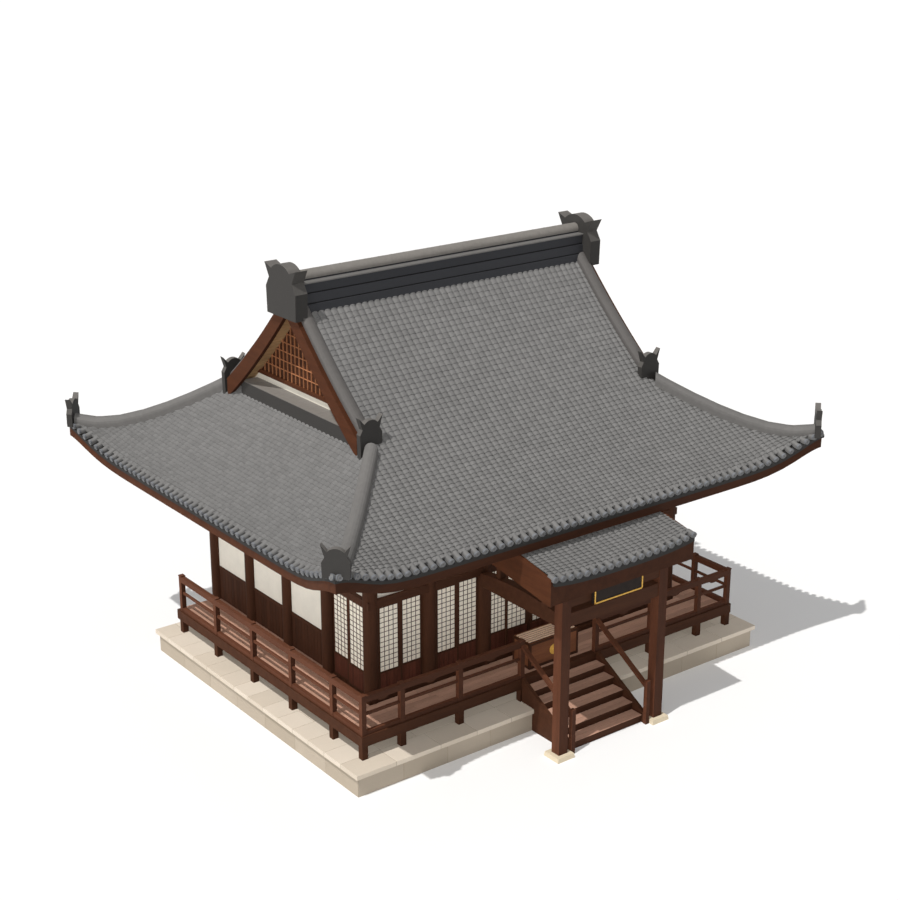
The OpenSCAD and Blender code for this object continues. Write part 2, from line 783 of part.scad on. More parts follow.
corner_plate_from = 105;             // from the corner to the front of its plate
hip_from = corner_plate_from + slope_plate_t + seam;
hip_to = (eave_y - slope_plate_y - slope_plate_t / 2 - 2) * sqrt(2) - slope_ridge_w / 2;

// Lays out its children on each hip, with +Y running in from the corner
module at_corners() {
    for (sx = [-1, 1], sy = [-1, 1])
        translate([sx * eave_x, sy * eave_y, 0]) rotate([0, 0, atan2(-sy, -sx) - 90]) children();
}

module corner_ridges() {
    first = hip_from / sqrt(2);
    last = hip_to / sqrt(2);
    between = [for (r = roof_depths, d = [r, r + hip_side]) if (d > first + 1 && d < last - 1) d];
    path = [for (d = concat([first], between, [last])) [d * sqrt(2), hip_z(d)]];
    color(ridge_tile) at_corners() half_round_ridge(path);
}

module corner_plates() {
    foot_z = bed(0, corner_plate_from * sqrt(2)) + seam;
    color(ridge_tile)
        at_corners()
            translate([0, corner_plate_from + slope_plate_t, foot_z])
                rotate([90, 0, 0]) linear_extrude(slope_plate_t) small_plate();
}

// ---------- step canopy ----------
canopy_front = canopy_y - canopy_eave_out;
canopy_back = -hall_y - 560;        // the roof stops below the main soffit
beam_w = 210;
low_beam_z = 3040;
low_beam_h = 300;
top_beam_z = 3480;
top_beam_h = 170;

function canopy_bed(x, y) = canopy_eave_z + canopy_slope * (y - canopy_front)
    + canopy_lift * pow(abs(x) / canopy_eave_half, 3) * max(0, 1 - (y - canopy_front) / 1200);

canopy_t = 90;
canopy_x_steps = 16;
canopy_y_steps = 4;
barge_t = 45;
canopy_foot = 3790;                  // foot of the boards under the canopy's edges
rear_y = canopy_back - 150;          // purlin at the back of the canopy
rear_h = 140;
rear_z = canopy_bed(0, rear_y - 70) - canopy_t - 1;

// Top edge of the ties between the canopy and the hall, [y, z]: they arch in the middle
tie_front = canopy_y + canopy_post / 2;
tie_back = -hall_y - col_r + 20;
tie_arch = 100;
tie_line = [for (u = [0:1 / 12:1.001])
    [tie_front + u * (tie_back - tie_front), low_beam_z + low_beam_h + tie_arch * sin(180 * u)]];

module canopy_posts() {
    color(wood)
        mirror_x()
            translate([canopy_half - canopy_post / 2, canopy_y - canopy_post / 2, stone_h])
                cube([canopy_post, canopy_post, top_beam_z + top_beam_h - stone_h]);
}

module canopy_beams() {
    inner = canopy_half - canopy_post / 2;
    purlin_z = top_beam_z + top_beam_h;
    purlin_top = canopy_bed(0, canopy_y - beam_w / 2) - canopy_t - 1;
    purlin_x = canopy_eave_half - 100;
    strut_foot = lookup(rear_y - 70, tie_line) + seam;
    color(wood) {
        for (z = [[low_beam_z, low_beam_h], [top_beam_z, top_beam_h]])
            bar([-inner, canopy_y - beam_w / 2, z[0]], [inner, canopy_y + beam_w / 2, z[0] + z[1]]);
        // purlin over the posts, under the canopy roof
        bar([-purlin_x, canopy_y - beam_w / 2, purlin_z + seam],
            [purlin_x, canopy_y + beam_w / 2, purlin_top]);
        // ties back to the hall columns, with struts under the rear purlin
        mirror_x() {
            difference() {
                translate([canopy_half, 0, 0])
                    across(beam_w)
                        polygon(concat([[tie_front, low_beam_z]], tie_line, [[tie_back, low_beam_z]]));
                all_columns(column_d, low_beam_z - 1, low_beam_z + low_beam_h + tie_arch);
            }
            bar([canopy_half - 70, rear_y - 70, strut_foot],
                [canopy_half + 70, rear_y + 70, rear_z - rear_h - seam]);
        }
        bar([-purlin_x, rear_y - 70, rear_z - rear_h], [purlin_x, rear_y + 70, rear_z]);
    }
}

module canopy_roof() {
    xs = [for (i = [0:canopy_x_steps]) canopy_eave_half * (2 * i / canopy_x_steps - 1)];
    ys = [for (j = [0:canopy_y_steps]) canopy_front + (canopy_back - canopy_front) * j / canopy_y_steps];
    color(tile)
        slab([for (y = ys) [for (x = xs) [x, y, canopy_bed(x, y)]]],
             [for (y = ys) [for (x = xs) [x, y, canopy_bed(x, y) - canopy_t]]]);
}

// Boards round the canopy's front and side edges
module canopy_boards() {
    front = canopy_front + 60;
    over_bed = 45;
    color(wood) {
        mirror_x()
            translate([canopy_eave_half, 0, 0])
                rotate([90, 0, 90]) linear_extrude(barge_t)
                    polygon([[front, canopy_foot - 20],
                             [front, canopy_bed(canopy_eave_half, front) + over_bed],
                             [canopy_back, canopy_bed(0, canopy_back) + over_bed / 2],
                             [canopy_back, canopy_foot + 380]]);
        translate([0, front + barge_t, 0])
            rotate([90, 0, 0])
                linear_extrude(barge_t)
                    polygon(concat([[-canopy_eave_half + seam, canopy_foot]],
                                   [for (i = [0:canopy_x_steps])
                                       let (x = (canopy_eave_half - seam) * (2 * i / canopy_x_steps - 1))
                                       [x, canopy_bed(x, front) - canopy_t - 3]],
                                   [[canopy_eave_half - seam, canopy_foot]]));
    }
}

module name_board() {
    color("#1e1a18")
        bar([-680, canopy_y - beam_w / 2 - 90, 3415], [680, canopy_y - beam_w / 2, 3960]);
}

// ---------- stair ----------
riser = floor_h / risers;
tread_t = 50;
stair_y = -ver_y - edge_out;         // the landing edge
inner_half = stair_half - side_board_t / 2;

string_y = stair_y - (risers - 1) * going - 30;

module stair() {
    color(wood) {
        for (i = [1:risers - 1]) {
            y = stair_y - (risers - i) * going;
            // each tread sits on the riser board below it
            bar([-inner_half, y, i * riser - tread_t],
                [inner_half, min(y + going + 30, stair_y), i * riser]);
            bar([-inner_half, y + 30, (i - 1) * riser + (i == 1 ? 0 : seam)],
                [inner_half, y + 55, i * riser - tread_t - seam]);
        }
        mirror_x()
            translate([inner_half + seam, 0, 0])
                rotate([90, 0, 90])
                    linear_extrude(side_board_t - seam)
                        polygon([[string_y, 0], [string_y, riser + 60], [stair_y, floor_h + 30],
                                 [stair_y, platform_h], [-pave_front + paving_lip, platform_h],
                                 [-pave_front + paving_lip, 0]]);
    }
}

module stair_rails() {
    newel = 100;
    rail_back = -ver_y - rail_post / 2;
    low = 880;
    high = low + (rail_back - string_y) * riser / going;
    rail_t = 80;
    color(wood)
        mirror_x()
            translate([stair_half - newel / 2, 0, 0])
                rotate([90, 0, 90])
                    linear_extrude(newel) {
                        translate([string_y - newel, 0]) square([newel, low + rail_t + 90]);
                        polygon([[string_y + seam, low], [rail_back, high],
                                 [rail_back, high + rail_t], [string_y + seam, low + rail_t]]);
                    }
}

// ---------- offertory box ----------
box_w = 1400;
box_d = 580;
box_h = 620;
box_front = -ver_y + 170;

module offertory_box() {
    color("#6b4630")
        difference() {
            bar([-box_w / 2, box_front, floor_h], [box_w / 2, box_front + box_d, floor_h + box_h]);
            bar([-box_w / 2 + 40, box_front + 40, floor_h + box_h - 90],
                [box_w / 2 - 40, box_front + box_d - 40, floor_h + box_h + 1]);
        }
    color("#b9967d")
        for (i = [0:9])
            bar([-box_w / 2 + 40, box_front + 60 + i * 48, floor_h + box_h - 60],
                [box_w / 2 - 40, box_front + 84 + i * 48, floor_h + box_h]);
}

platform();
paving();
canopy_stones();
floors();
veranda_frame();
left_railing();
front_railing();
right_railing();
columns();
sills();
lintels();
wall_plates();
door_tracks();
plank_walls();
plaster_walls();
fixed_leaves();
ceiling();
eave_boards();
lower_roof();
upper_roof();
main_ridge();
ridge_ends();
slope_ridges();
corner_ridges();
slope_plates();
corner_plates();
gable_walls();
gable_boards();
gable_foot_ridges();
canopy_posts();
canopy_beams();
canopy_roof();
canopy_boards();
name_board();
stair();
stair_rails();
offertory_box();
for (l = leaves)
    sliding_leaf(l);
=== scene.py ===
"""Looks of the temple hall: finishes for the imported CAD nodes, and the tiles, lattices,
boards and stones laid on them. Metres, in the CAD's own frame: the front faces -Y."""
import math
import random

import bpy
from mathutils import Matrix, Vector
from mathutils.bvhtree import BVHTree


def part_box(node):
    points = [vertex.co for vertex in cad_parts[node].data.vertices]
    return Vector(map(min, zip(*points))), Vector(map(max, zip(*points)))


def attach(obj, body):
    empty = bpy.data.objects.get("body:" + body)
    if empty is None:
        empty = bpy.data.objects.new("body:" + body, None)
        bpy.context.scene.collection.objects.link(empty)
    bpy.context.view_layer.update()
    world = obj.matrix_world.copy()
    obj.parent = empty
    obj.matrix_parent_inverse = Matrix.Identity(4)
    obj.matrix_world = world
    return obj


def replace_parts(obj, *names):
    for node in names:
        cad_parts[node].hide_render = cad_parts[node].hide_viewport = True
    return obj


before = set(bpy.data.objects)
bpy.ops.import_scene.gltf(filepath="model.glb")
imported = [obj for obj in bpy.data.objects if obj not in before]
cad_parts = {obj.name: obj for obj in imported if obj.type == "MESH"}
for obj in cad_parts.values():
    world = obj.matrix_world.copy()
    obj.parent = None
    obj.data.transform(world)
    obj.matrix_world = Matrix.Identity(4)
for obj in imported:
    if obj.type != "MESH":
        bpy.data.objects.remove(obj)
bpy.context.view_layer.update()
rng = random.Random(7)
HALL = "hall"
UP = Vector((0, 0, 1))


# --- node helpers ---
WHITE = (1.0, 1.0, 1.0)
SHUFFLE = 37.0  # how far a tone of 1 moves a piece's pattern


def add_node(tree, kind, inputs={}, **settings):
    """A new node; its inputs, by name or number, take a constant or another node's output."""
    node = tree.nodes.new("ShaderNode" + kind)
    for key, value in settings.items():
        setattr(node, key, value)
    for key, value in inputs.items():
        if isinstance(value, bpy.types.NodeSocket):
            tree.links.new(value, node.inputs[key])
        else:
            node.inputs[key].default_value = value
    return node


def add_ramp(tree, value, stops):
    """A colour output from a value; stops are (position, colour)."""
    node = add_node(tree, "ValToRGB", {0: value})
    elements = node.color_ramp.elements
    for at, _ in stops[1:-1]:
        elements.new(at)
    for element, (at, rgb) in zip(elements, stops):
        element.position = at
        element.color = (*rgb, 1)
    return node.outputs[0]


class Paint:
    """One material's nodes, built from the surface back."""

    def __init__(self, name, roughness, specular, metallic=0.0):
        self.mat = bpy.data.materials.new(name)
        self.mat.use_nodes = True
        self.tree = self.mat.node_tree
        self.tree.nodes.clear()
        self.bsdf = self.node("BsdfPrincipled", {
            "Roughness": roughness, "Specular IOR Level": specular, "Metallic": metallic})
        self.node("OutputMaterial", {0: self.bsdf.outputs[0]})
        self.place = self.node("TexCoord").outputs["Object"]

    def node(self, kind, inputs={}, **settings):
        return add_node(self.tree, kind, inputs, **settings)

    def ramp(self, value, *stops):
        return add_ramp(self.tree, value, stops)

    def shuffle(self):
        """Moves the pattern by each piece's tone, so that no two boards share a grain."""
        move = self.node("VectorMath", {0: self.tone(), "Scale": SHUFFLE}, operation="SCALE")
        self.place = self.node("VectorMath", {0: self.place, 1: move.outputs[0]}).outputs[0]

    def noise(self, scale, stretch=(1, 1, 1), detail=4, rough=0.55):
        """Noise on the object's coordinates, stretched along X, Y and Z."""
        place = self.node("Mapping", {"Scale": stretch, "Vector": self.place}).outputs[0]
        return self.node("TexNoise", {"Scale": scale, "Detail": detail, "Roughness": rough,
                                      "Vector": place}).outputs["Fac"]

    def mix(self, a, b, factor=1.0, how="MIX"):
        """Blends two colour outputs; the node's sockets 6 and 7 are colours A and B."""
        return self.node("Mix", {0: factor, 6: a, 7: b}, data_type="RGBA",
                         blend_type=how).outputs[2]

    def painted_light_by_facing(self, share, axis="Y", start=0.5, end=0.85):
        """White, but share times that on faces that look along an axis, either way; it paints light
        and shade by the way a face looks.
        """
        normal = self.node("NewGeometry").outputs["Normal"]
        part = self.node("SeparateXYZ", {0: normal}).outputs[axis]
        size = self.node("Math", {0: part}, operation="ABSOLUTE").outputs[0]
        return self.ramp(size, (start, WHITE), (end, (share,) * 3))

    def tone(self):
        """Each tile's, board's or stone's own value, from 0 to 1."""
        return self.node("Attribute", attribute_name="tone").outputs["Fac"]

    def own_shade(self, body, darkest):
        """The colour, shaded by each solid's tone between darkest and white."""
        return self.mix(body, self.ramp(self.tone(), (0.0, darkest), (1.0, WHITE)), how="MULTIPLY")

    def finish(self, colour, roughness=None, bump=None):
        """Sets the surface and returns the material.

        roughness is an output and its range; bump is an output, a strength and a distance."""
        self.tree.links.new(colour, self.bsdf.inputs["Base Color"])
        if roughness:
            value, low, high = roughness
            spread = self.node("MapRange", {"Value": value, "To Min": low, "To Max": high})
            self.tree.links.new(spread.outputs[0], self.bsdf.inputs["Roughness"])
        if bump:
            height, strength, distance = bump
            relief = self.node("Bump", {"Height": height, "Strength": strength,
                                        "Distance": distance})
            self.tree.links.new(relief.outputs[0], self.bsdf.inputs["Normal"])
        return self.mat


def linear(rgb):
    """A linear colour from 8-bit sRGB."""
    return tuple(((c / 255 + 0.055) / 1.055) ** 2.4 if c > 10 else c / 255 / 12.92 for c in rgb)


def times(rgb, k):
    return tuple(min(1.0, c * k) for c in rgb)


# --- materials ---
GRAIN = {"x": (0.10, 1, 1), "y": (1, 0.10, 1), "z": (1, 1, 0.10)}


def timber(name, rgb, along, spread=0.3, toned=False, front=1.0):
    """Sawn timber, its grain along one axis and straying from the colour by spread.

    toned gives each board its own shade and grain. front paints shade on the faces that look
    to the front and back, darkening them as in the photo."""
    paint = Paint(name, roughness=0.7, specular=0.12)
    base = linear(rgb)
    if toned:
        paint.shuffle()
    fibre = paint.noise(55, GRAIN[along], detail=6, rough=0.65)
    figure = paint.noise(7, GRAIN[along], detail=3, rough=0.5)
    dark, light = times(base, 1 - spread), times(base, 1 + spread)
    fine = paint.ramp(fibre, (0.30, dark), (0.70, light))
    wide = paint.ramp(figure, (0.35, dark), (0.65, times(base, 1 + 0.6 * spread)))
    body = paint.mix(fine, wide, 0.45)
    if toned:
        body = paint.own_shade(body, (0.74,) * 3)
    if front < 1:
        # painted shade on the faces that look to the front and back
        body = paint.mix(body, paint.painted_light_by_facing(front), how="MULTIPLY")
    return paint.finish(body, roughness=(fibre, 0.6, 0.85), bump=(fibre, 0.35, 0.003))


def stone(name, rgb, toned=False):
    """Fine-grained sawn stone with faint stains; toned gives each stone its own shade."""
    paint = Paint(name, roughness=0.9, specular=0.2)
    base = linear(rgb)
    if toned:
        paint.shuffle()
    speckle = paint.noise(140, detail=3, rough=0.7)
    stain = paint.noise(1.1, detail=6, rough=0.6)
    grain = paint.ramp(speckle, (0.35, times(base, 0.88)), (0.65, times(base, 1.06)))
    wash = paint.ramp(stain, (0.35, times(base, 0.90)), (0.65, base))
    body = paint.mix(grain, wash, 0.5)
    if toned:
        body = paint.own_shade(body, (0.88, 0.87, 0.85))
    return paint.finish(body, bump=(speckle, 0.25, 0.002))


def clay(name, rgb, toned=False, up=1.0):
    """Fired roof tile; toned gives each tile its own shade.

    With up over 1 the faces that look up get painted light, that much lighter, and the faces
    that look to the front and back get painted shade, as on the photo's end plates and discs."""
    paint = Paint(name, roughness=0.7, specular=0.3)
    base = linear(rgb)
    mottle = paint.noise(11, detail=5, rough=0.6)
    patch = paint.noise(0.6, detail=3)
    mottled = paint.ramp(mottle, (0.32, times(base, 0.86)), (0.68, times(base, 1.10)))
    patched = paint.ramp(patch, (0.35, times(base, 0.93)), (0.65, times(base, 1.04)))
    body = paint.mix(mottled, patched, 0.45)
    if toned:
        body = paint.own_shade(body, (0.86,) * 3)
    # painted light on the faces that look up, painted shade on those that look to the front and
    # back
    if up > 1:
        body = paint.mix(body, paint.painted_light_by_facing(1 / up, "Z", 0.15, 0.6), how="DIVIDE")
        body = paint.mix(body, paint.painted_light_by_facing(0.72), how="MULTIPLY")
    return paint.finish(body, roughness=(mottle, 0.62, 0.82),
                        bump=(paint.noise(120, detail=3), 0.2, 0.0015))


def lime_plaster(name, rgb):
    """Trowelled plaster, a little greyed by weather."""
    paint = Paint(name, roughness=0.93, specular=0.1)
    base = linear(rgb)
    mottle = paint.noise(2.2, detail=7, rough=0.6)
    return paint.finish(paint.ramp(mottle, (0.32, times(base, 0.90)), (0.68, base)),
                        bump=(paint.noise(38, detail=5), 0.25, 0.003))


def washi(name, rgb):
    """Paper on the lattice leaves, with long fibres."""
    paint = Paint(name, roughness=0.9, specular=0.1)
    base = linear(rgb)
    fibres = paint.noise(34, (1, 1, 0.4), detail=8, rough=0.75)
    return paint.finish(paint.ramp(fibres, (0.35, times(base, 0.90)), (0.62, base)),
                        bump=(fibres, 0.1, 0.001))


def gilt(name, rgb):
    """Old gilding, rubbed in places."""
    paint = Paint(name, roughness=0.42, specular=0.5, metallic=0.35)
    base = linear(rgb)
    rubbed = paint.noise(26, detail=5)
    return paint.finish(paint.ramp(rubbed, (0.30, times(base, 0.75)), (0.62, base)),
                        roughness=(rubbed, 0.5, 0.35))


def lacquer(name, rgb):
    """Black lacquer dulled by dust."""
    paint = Paint(name, roughness=0.7, specular=0.15)
    base = linear(rgb)
    dust = paint.noise(6, detail=6)
    return paint.finish(paint.ramp(dust, (0.35, base), (0.70, times(base, 1.7))),
                        roughness=(dust, 0.6, 0.8))


# The colours are 8-bit sRGB, matched to the photograph under the stage's lights.
DARK = (72, 43, 28)
# dark timber: front=0.85 paints shade on the faces that look to the front and back
dark = {axis: timber(f"dark_timber_{axis}", DARK, axis, front=0.85) for axis in "xyz"}
dark_boards = {axis: timber(f"dark_boards_{axis}", DARK, axis, toned=True) for axis in "xyz"}
door_boards = timber("door_boards", (92, 51, 38), "z", 0.4, toned=True)
# red and rail timber: front paints heavier shade on the faces that look to the front and back
red = {axis: timber(f"red_timber_{axis}", (78, 44, 26), axis, front=0.62) for axis in "xy"}
rail = {axis: timber(f"rail_timber_{axis}", (94, 57, 40), axis, front=0.55) for axis in "xyz"}
floor_boards = {axis: timber(f"floor_boards_{axis}", (192, 151, 130), axis, 0.22, toned=True)
                for axis in "xy"}
joint_timber = timber("joint_timber", (44, 31, 25), "x")
tan_boards = timber("tan_boards", (205, 168, 124), "x", 0.35, toned=True)
tan_timber = timber("tan_timber", (166, 112, 78), "z", 0.25)
box_timber = timber("box_timber", (118, 74, 50), "x")
slat_timber = timber("slat_timber", (240, 204, 176), "x", 0.2)
podium_stone = stone("podium_stone", (184, 172, 156), toned=True)
paving_stone = stone("paving_stone", (222, 210, 194), toned=True)
footing_stone = stone("footing_stone", (216, 202, 176))
joint_stone = stone("joint_stone", (150, 138, 118))
tile_clay = clay("tile_clay", (118, 117, 116), toned=True)
# eave discs: up paints light on the faces that look up and shade on those to the front and back
eave_clay = clay("eave_clay", (112, 114, 118), toned=True, up=1.05)
# painted shade: the CAD roofs under the tiles are made dark, so that the gaps between the round
# eave tiles read as shadow
bed_clay = clay("bed_clay", (40, 39, 38))
ridge_clay = clay("ridge_clay", (108, 106, 104))
cap_clay = clay("cap_clay", (126, 122, 117))
slope_clay = clay("slope_clay", (92, 89, 87))
course_clay = clay("course_clay", (50, 51, 55))
# end plates and foot ridges: up paints strong light on their tops and shade on their front and back
# faces
plate_clay = clay("plate_clay", (58, 56, 54), up=3.2)
# painted shadow: near black, for the joints at the foot of each ridge course
joint_clay = clay("joint_clay", (20, 20, 22))
plaster = lime_plaster("white_plaster", (240, 234, 221))
paper = washi("shoji_paper", (252, 244, 228))
gold = gilt("old_gilding", (226, 176, 76))
black = lacquer("black_lacquer", (34, 27, 24))

LEAVES = sorted(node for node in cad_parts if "_leaf_" in node)
FINISHES = (
    (joint_stone, "platform", "paving"), (footing_stone, "canopy_stones"),
    (joint_timber, "floors", "plank_walls"), (dark_boards["x"], "ceiling"),
    (dark["x"], "veranda_frame", "sills", "lintels", "wall_plates", "door_tracks",
     "canopy_beams", "stair"),
    (dark["z"], "columns", "fixed_leaves", *LEAVES), (rail["x"], "front_railing"),
    (rail["y"], "left_railing", "right_railing", "stair_rails"), (rail["z"], "canopy_posts"),
    (red["x"], "eave_boards"), (red["y"], "gable_boards", "canopy_boards"),
    (plaster, "plaster_walls", "gable_walls"), (box_timber, "offertory_box"),
    (black, "name_board"), (bed_clay, "lower_roof", "upper_roof", "canopy_roof"),
    (course_clay, "main_ridge"), (slope_clay, "slope_ridges"), (ridge_clay, "corner_ridges"),
    (plate_clay, "ridge_ends", "slope_plates", "corner_plates", "gable_foot_ridges"),
)
for finish, *nodes in FINISHES:
    for node in nodes:
        for material_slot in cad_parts[node].material_slots:
            material_slot.material = finish


# --- mesh helpers ---
class Build:
    """One piece's mesh, gathered from many small solids that each have their own tone."""

    def __init__(self):
        self.verts, self.faces, self.tones = [], [], []

    def add(self, verts, faces, tone=None):
        """Adds a solid; tone is its value, a value for each face, or None for a drawn one."""
        start = len(self.verts)
        self.verts += [tuple(v) for v in verts]
        self.faces += [[start + i for i in face] for face in faces]
        if isinstance(tone, list):
            self.tones += tone
        else:
            self.tones += [rng.random() if tone is None else tone] * len(faces)

    def box(self, low, high, chamfer=0.0):
        """A box between two corners, its edges cut back by chamfer."""
        self.add(*chamfered(low, high, chamfer))

    def wall_box(self, along_x, u, t, z, chamfer=0.0):
        """A box along a wall: u is its span along it, t its span across, z its heights."""
        if along_x:
            self.box((u[0], t[0], z[0]), (u[1], t[1], z[1]), chamfer)
        else:
            self.box((t[0], u[0], z[0]), (t[1], u[1], z[1]), chamfer)

    def sweep(self, rings, tone=None):
        """Skins closed rings of points, each ring the same way round, and caps both ends."""
        n = len(rings[0])
        verts = [p for ring in rings for p in ring]
        faces = [[i * n + j, i * n + (j + 1) % n, (i + 1) * n + (j + 1) % n, (i + 1) * n + j]
                 for i in range(len(rings) - 1) for j in range(n)]
        faces.append(list(range(n))[::-1])
        faces.append([(len(rings) - 1) * n + j for j in range(n)])
        self.add(verts, faces, tone)

    def lathe(self, profile, origin, axis, steps, tone):
        """Turns (along, radius) points about an axis; a radius of 0 closes an end."""
        axis = axis.normalized()
        side = axis.orthogonal().normalized()
        up = axis.cross(side)
        verts, rows = [], []
        for along, radius in profile:
            rows.append(len(verts))
            for k in range(steps if radius else 1):
                turn = 2 * math.pi * k / steps
                verts.append(origin + axis * along
                             + (side * math.cos(turn) + up * math.sin(turn)) * radius)
        faces = []
        for (a, (_, ra)), (b, (_, rb)) in zip(zip(rows, profile), zip(rows[1:], profile[1:])):
            for k in range(steps):
                m = (k + 1) % steps
                if ra and rb:
                    faces.append([a + k, a + m, b + m, b + k])
                elif ra:
                    faces.append([a + k, a + m, b])
                elif rb:
                    faces.append([a, b + m, b + k])
        self.add(verts, faces, tone)

    def piece(self, name, material, slot, body=HALL):
        """Makes the object and rides it on its body; slot is not used."""
        mesh = bpy.data.meshes.new(name)
        mesh.from_pydata(self.verts, [], self.faces)
        mesh.attributes.new("tone", "FLOAT", "FACE").data.foreach_set("value", self.tones)
        mesh.update()
        place_piece(name, mesh, material, body)


def place_piece(name, mesh, material, body):
    mesh.materials.append(material)
    piece = bpy.data.objects.new(name, mesh)
    bpy.context.scene.collection.objects.link(piece)
    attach(piece, body)
    return piece


def outward(verts, faces):
    """Winds a convex solid's faces so that they look outward."""
    middle = sum((Vector(v) for v in verts), Vector()) / len(verts)
    wound = []
    for face in faces:
        a, b, c = (Vector(verts[i]) for i in face[:3])
        wound.append(face if (b - a).cross(c - a).dot(a - middle) > 0 else face[::-1])
    return wound


BITS = (4, 2, 1)  # a box's corner c is on the high side of axis m when c has BITS[m]
BOX_FACES = [[0, 1, 3, 2], [4, 6, 7, 5], [0, 4, 5, 1], [2, 3, 7, 6], [0, 2, 6, 4], [1, 5, 7, 3]]


def chamfer_faces():
    """Faces of a chamfered cube whose point 3 * corner + axis lies on the face across axis."""
    faces = []
    for k in range(3):
        a, b = (k + 1) % 3, (k + 2) % 3
        for s in (0, 1):
            faces.append([3 * (s * BITS[k] + i * BITS[a] + j * BITS[b]) + k
                          for i, j in ((0, 0), (1, 0), (1, 1), (0, 1))])
        for low in (0, BITS[b], BITS[a], BITS[a] + BITS[b]):
            high = low + BITS[k]
            faces.append([3 * low + a, 3 * low + b, 3 * high + b, 3 * high + a])
    faces += [[3 * c, 3 * c + 1, 3 * c + 2] for c in range(8)]
    cube = [Vector([(1.0 if m == k else 0.9) * (1 if c & BITS[m] else -1) for m in range(3)])
            for c in range(8) for k in range(3)]
    return outward(cube, faces)


CHAMFER_FACES = chamfer_faces()


def chamfered(low, high, cut):
    """Points and faces of a box with its edges cut back."""
    corners = [[(high if c & BITS[m] else low)[m] for m in range(3)] for c in range(8)]
    if not cut:
        return corners, BOX_FACES
    verts = []
    for corner in corners:
        for k in range(3):
            verts.append([v if m == k else v + cut * (1 if v == low[m] else -1)
                          for m, v in enumerate(corner)])
    return verts, CHAMFER_FACES


def islands(node):
    """Low and high corners of each separate solid of a CAD node.

    The CAD meshes have split vertices, so points at the same place count as one."""
    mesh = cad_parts[node].data
    spots = [tuple(round(c, 5) for c in v.co) for v in mesh.vertices]
    group = {spot: spot for spot in spots}

    def root(spot):
        while group[spot] != spot:
            group[spot] = group[group[spot]]
            spot = group[spot]
        return spot

    for face in mesh.polygons:
        for i in face.vertices[1:]:
            group[root(spots[i])] = root(spots[face.vertices[0]])
    boxes = {}
    for spot in group:
        low, high = boxes.setdefault(root(spot), (Vector(spot), Vector(spot)))
        for m in range(3):
            low[m] = min(low[m], spot[m])
            high[m] = max(high[m], spot[m])
    return sorted(boxes.values(), key=lambda b: tuple(b[0]))


def wall_spans(low, high):
    """Whether a wall runs along X, and its spans along and across."""
    along, across = (0, 1) if high.x - low.x > high.y - low.y else (1, 0)
    return along == 0, (low[along], high[along]), (low[across], high[across])


def tree_of(*nodes):
    """A search tree over the surfaces of CAD nodes."""
    verts, faces = [], []
    for node in nodes:
        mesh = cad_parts[node].data
        start = len(verts)
        verts += [v.co.copy() for v in mesh.vertices]
        faces += [[start + i for i in p.vertices] for p in mesh.polygons]
    return BVHTree.FromPolygons(verts, faces)


SKY = 30.0  # a height over everything


def top_of(tree, x, y):
    """Height of the upper surface at a place, or None beside it."""
    hit = tree.ray_cast(Vector((x, y, SKY)), -UP)[0]
    return hit.z if hit else None


def underside_of(tree, x, y, low):
    """Height of the first surface above low at a place, or None."""
    hit = tree.ray_cast(Vector((x, y, low)), UP)[0]
    return hit.z if hit else None


def pitches(low, high, pitch, gap):
    """Splits a run into equal boards about one pitch wide, with gaps between them."""
    n = max(1, round((high - low) / pitch))
    step = (high - low) / n
    return [(low + i * step + gap / 2, low + (i + 1) * step - gap / 2) for i in range(n)]


def evenly(half, pitch):
    """Middles of the equal shares, about one pitch wide, of a run from -half to half."""
    n = round(2 * half / pitch)
    return [(2 * (i + 0.5) / n - 1) * half for i in range(n)]


def on_side(s, a, b):
    """The span from a to b on side s, -1 or 1, of the middle, in rising order."""
    return sorted((s * a, s * b))


def half_ring(p, across, up, radius, steps, side):
    """Points of a half circle over p, with straight sides below it."""
    ring = [p + across * radius * math.cos(a) + up * radius * math.sin(a)
            for a in (math.pi * k / steps for k in range(steps + 1))]
    return ring + [p + across * radius * s - up * side for s in (-1, 1)]


def staggered(low, high, first, others, least):
    """Cuts of a run into drawn lengths; first and others are ranges, least the last length."""
    cuts = [low]
    at = low + rng.uniform(*first)
    while at < high - least:
        cuts.append(at)
        at += rng.uniform(*others)
    return cuts + [high]


# --- roof tiles ---
RIB = 0.1605  # width of one tile
COURSE = 0.094  # plan depth of one course
LIP = 0.021  # step at the foot of a course
LAID = 0.032  # the tiles' edges over the CAD roof
CROWN = 0.050  # rise of a tile's crown over its edges
LIP_BOW = 0.020  # how far the crown runs ahead at a course's foot
# One tile's curve: share of its width, share of its crown
CURVE = [(0.0, 0.0), (0.06, 0.42), (0.2, 0.84), (0.45, 1.0), (0.72, 0.84), (0.93, 0.36), (1.0, 0.0)]
PER_TILE = len(CURVE) - 1
NUDGES = (0, 0.004, -0.004, 0.02, -0.02)  # tried in turn where a ray slips through a seam
HIP_GAP = 0.002  # tiles end this far from the hips
UNDER_RIDGE = 0.03  # the top course runs this far under the main ridge
SHORT_OF_GABLE = 0.06  # the side roofs' tiles end this far below the gable's foot

DISC_PITCH = 0.2145
CANOPY_DISC_PITCH = 0.2149
DISC_R = 0.068
# A disc from back to front, with a raised rim and boss: (along, radius)
DISC_PROFILE = [(-0.045, 0), (-0.045, DISC_R), (0.0, DISC_R), (0.004, 0.062), (-0.005, 0.052),
                (-0.005, 0.028), (0.002, 0.020), (0.002, 0)]
DISC_STEPS = 12
DISC_OUT = 0.004  # a disc stands this far ahead of its bar
BAR_LENGTH = 0.17  # half-round tiles that end in the discs
BAR_R = 0.060
BAR_STEPS = 6
BAR_UP = 0.056  # their axis over the CAD roof
BAR_SIDE = 0.05  # depth of their sides below the half circle
BAR_OUT = 0.012  # their reach past the roof's edge
BAR_UNDER = 0.02  # their reach past BAR_LENGTH, under the first course
FIRST = BAR_LENGTH - 0.02  # depth of the first course's foot
CANOPY_FIRST = BAR_LENGTH - 0.03

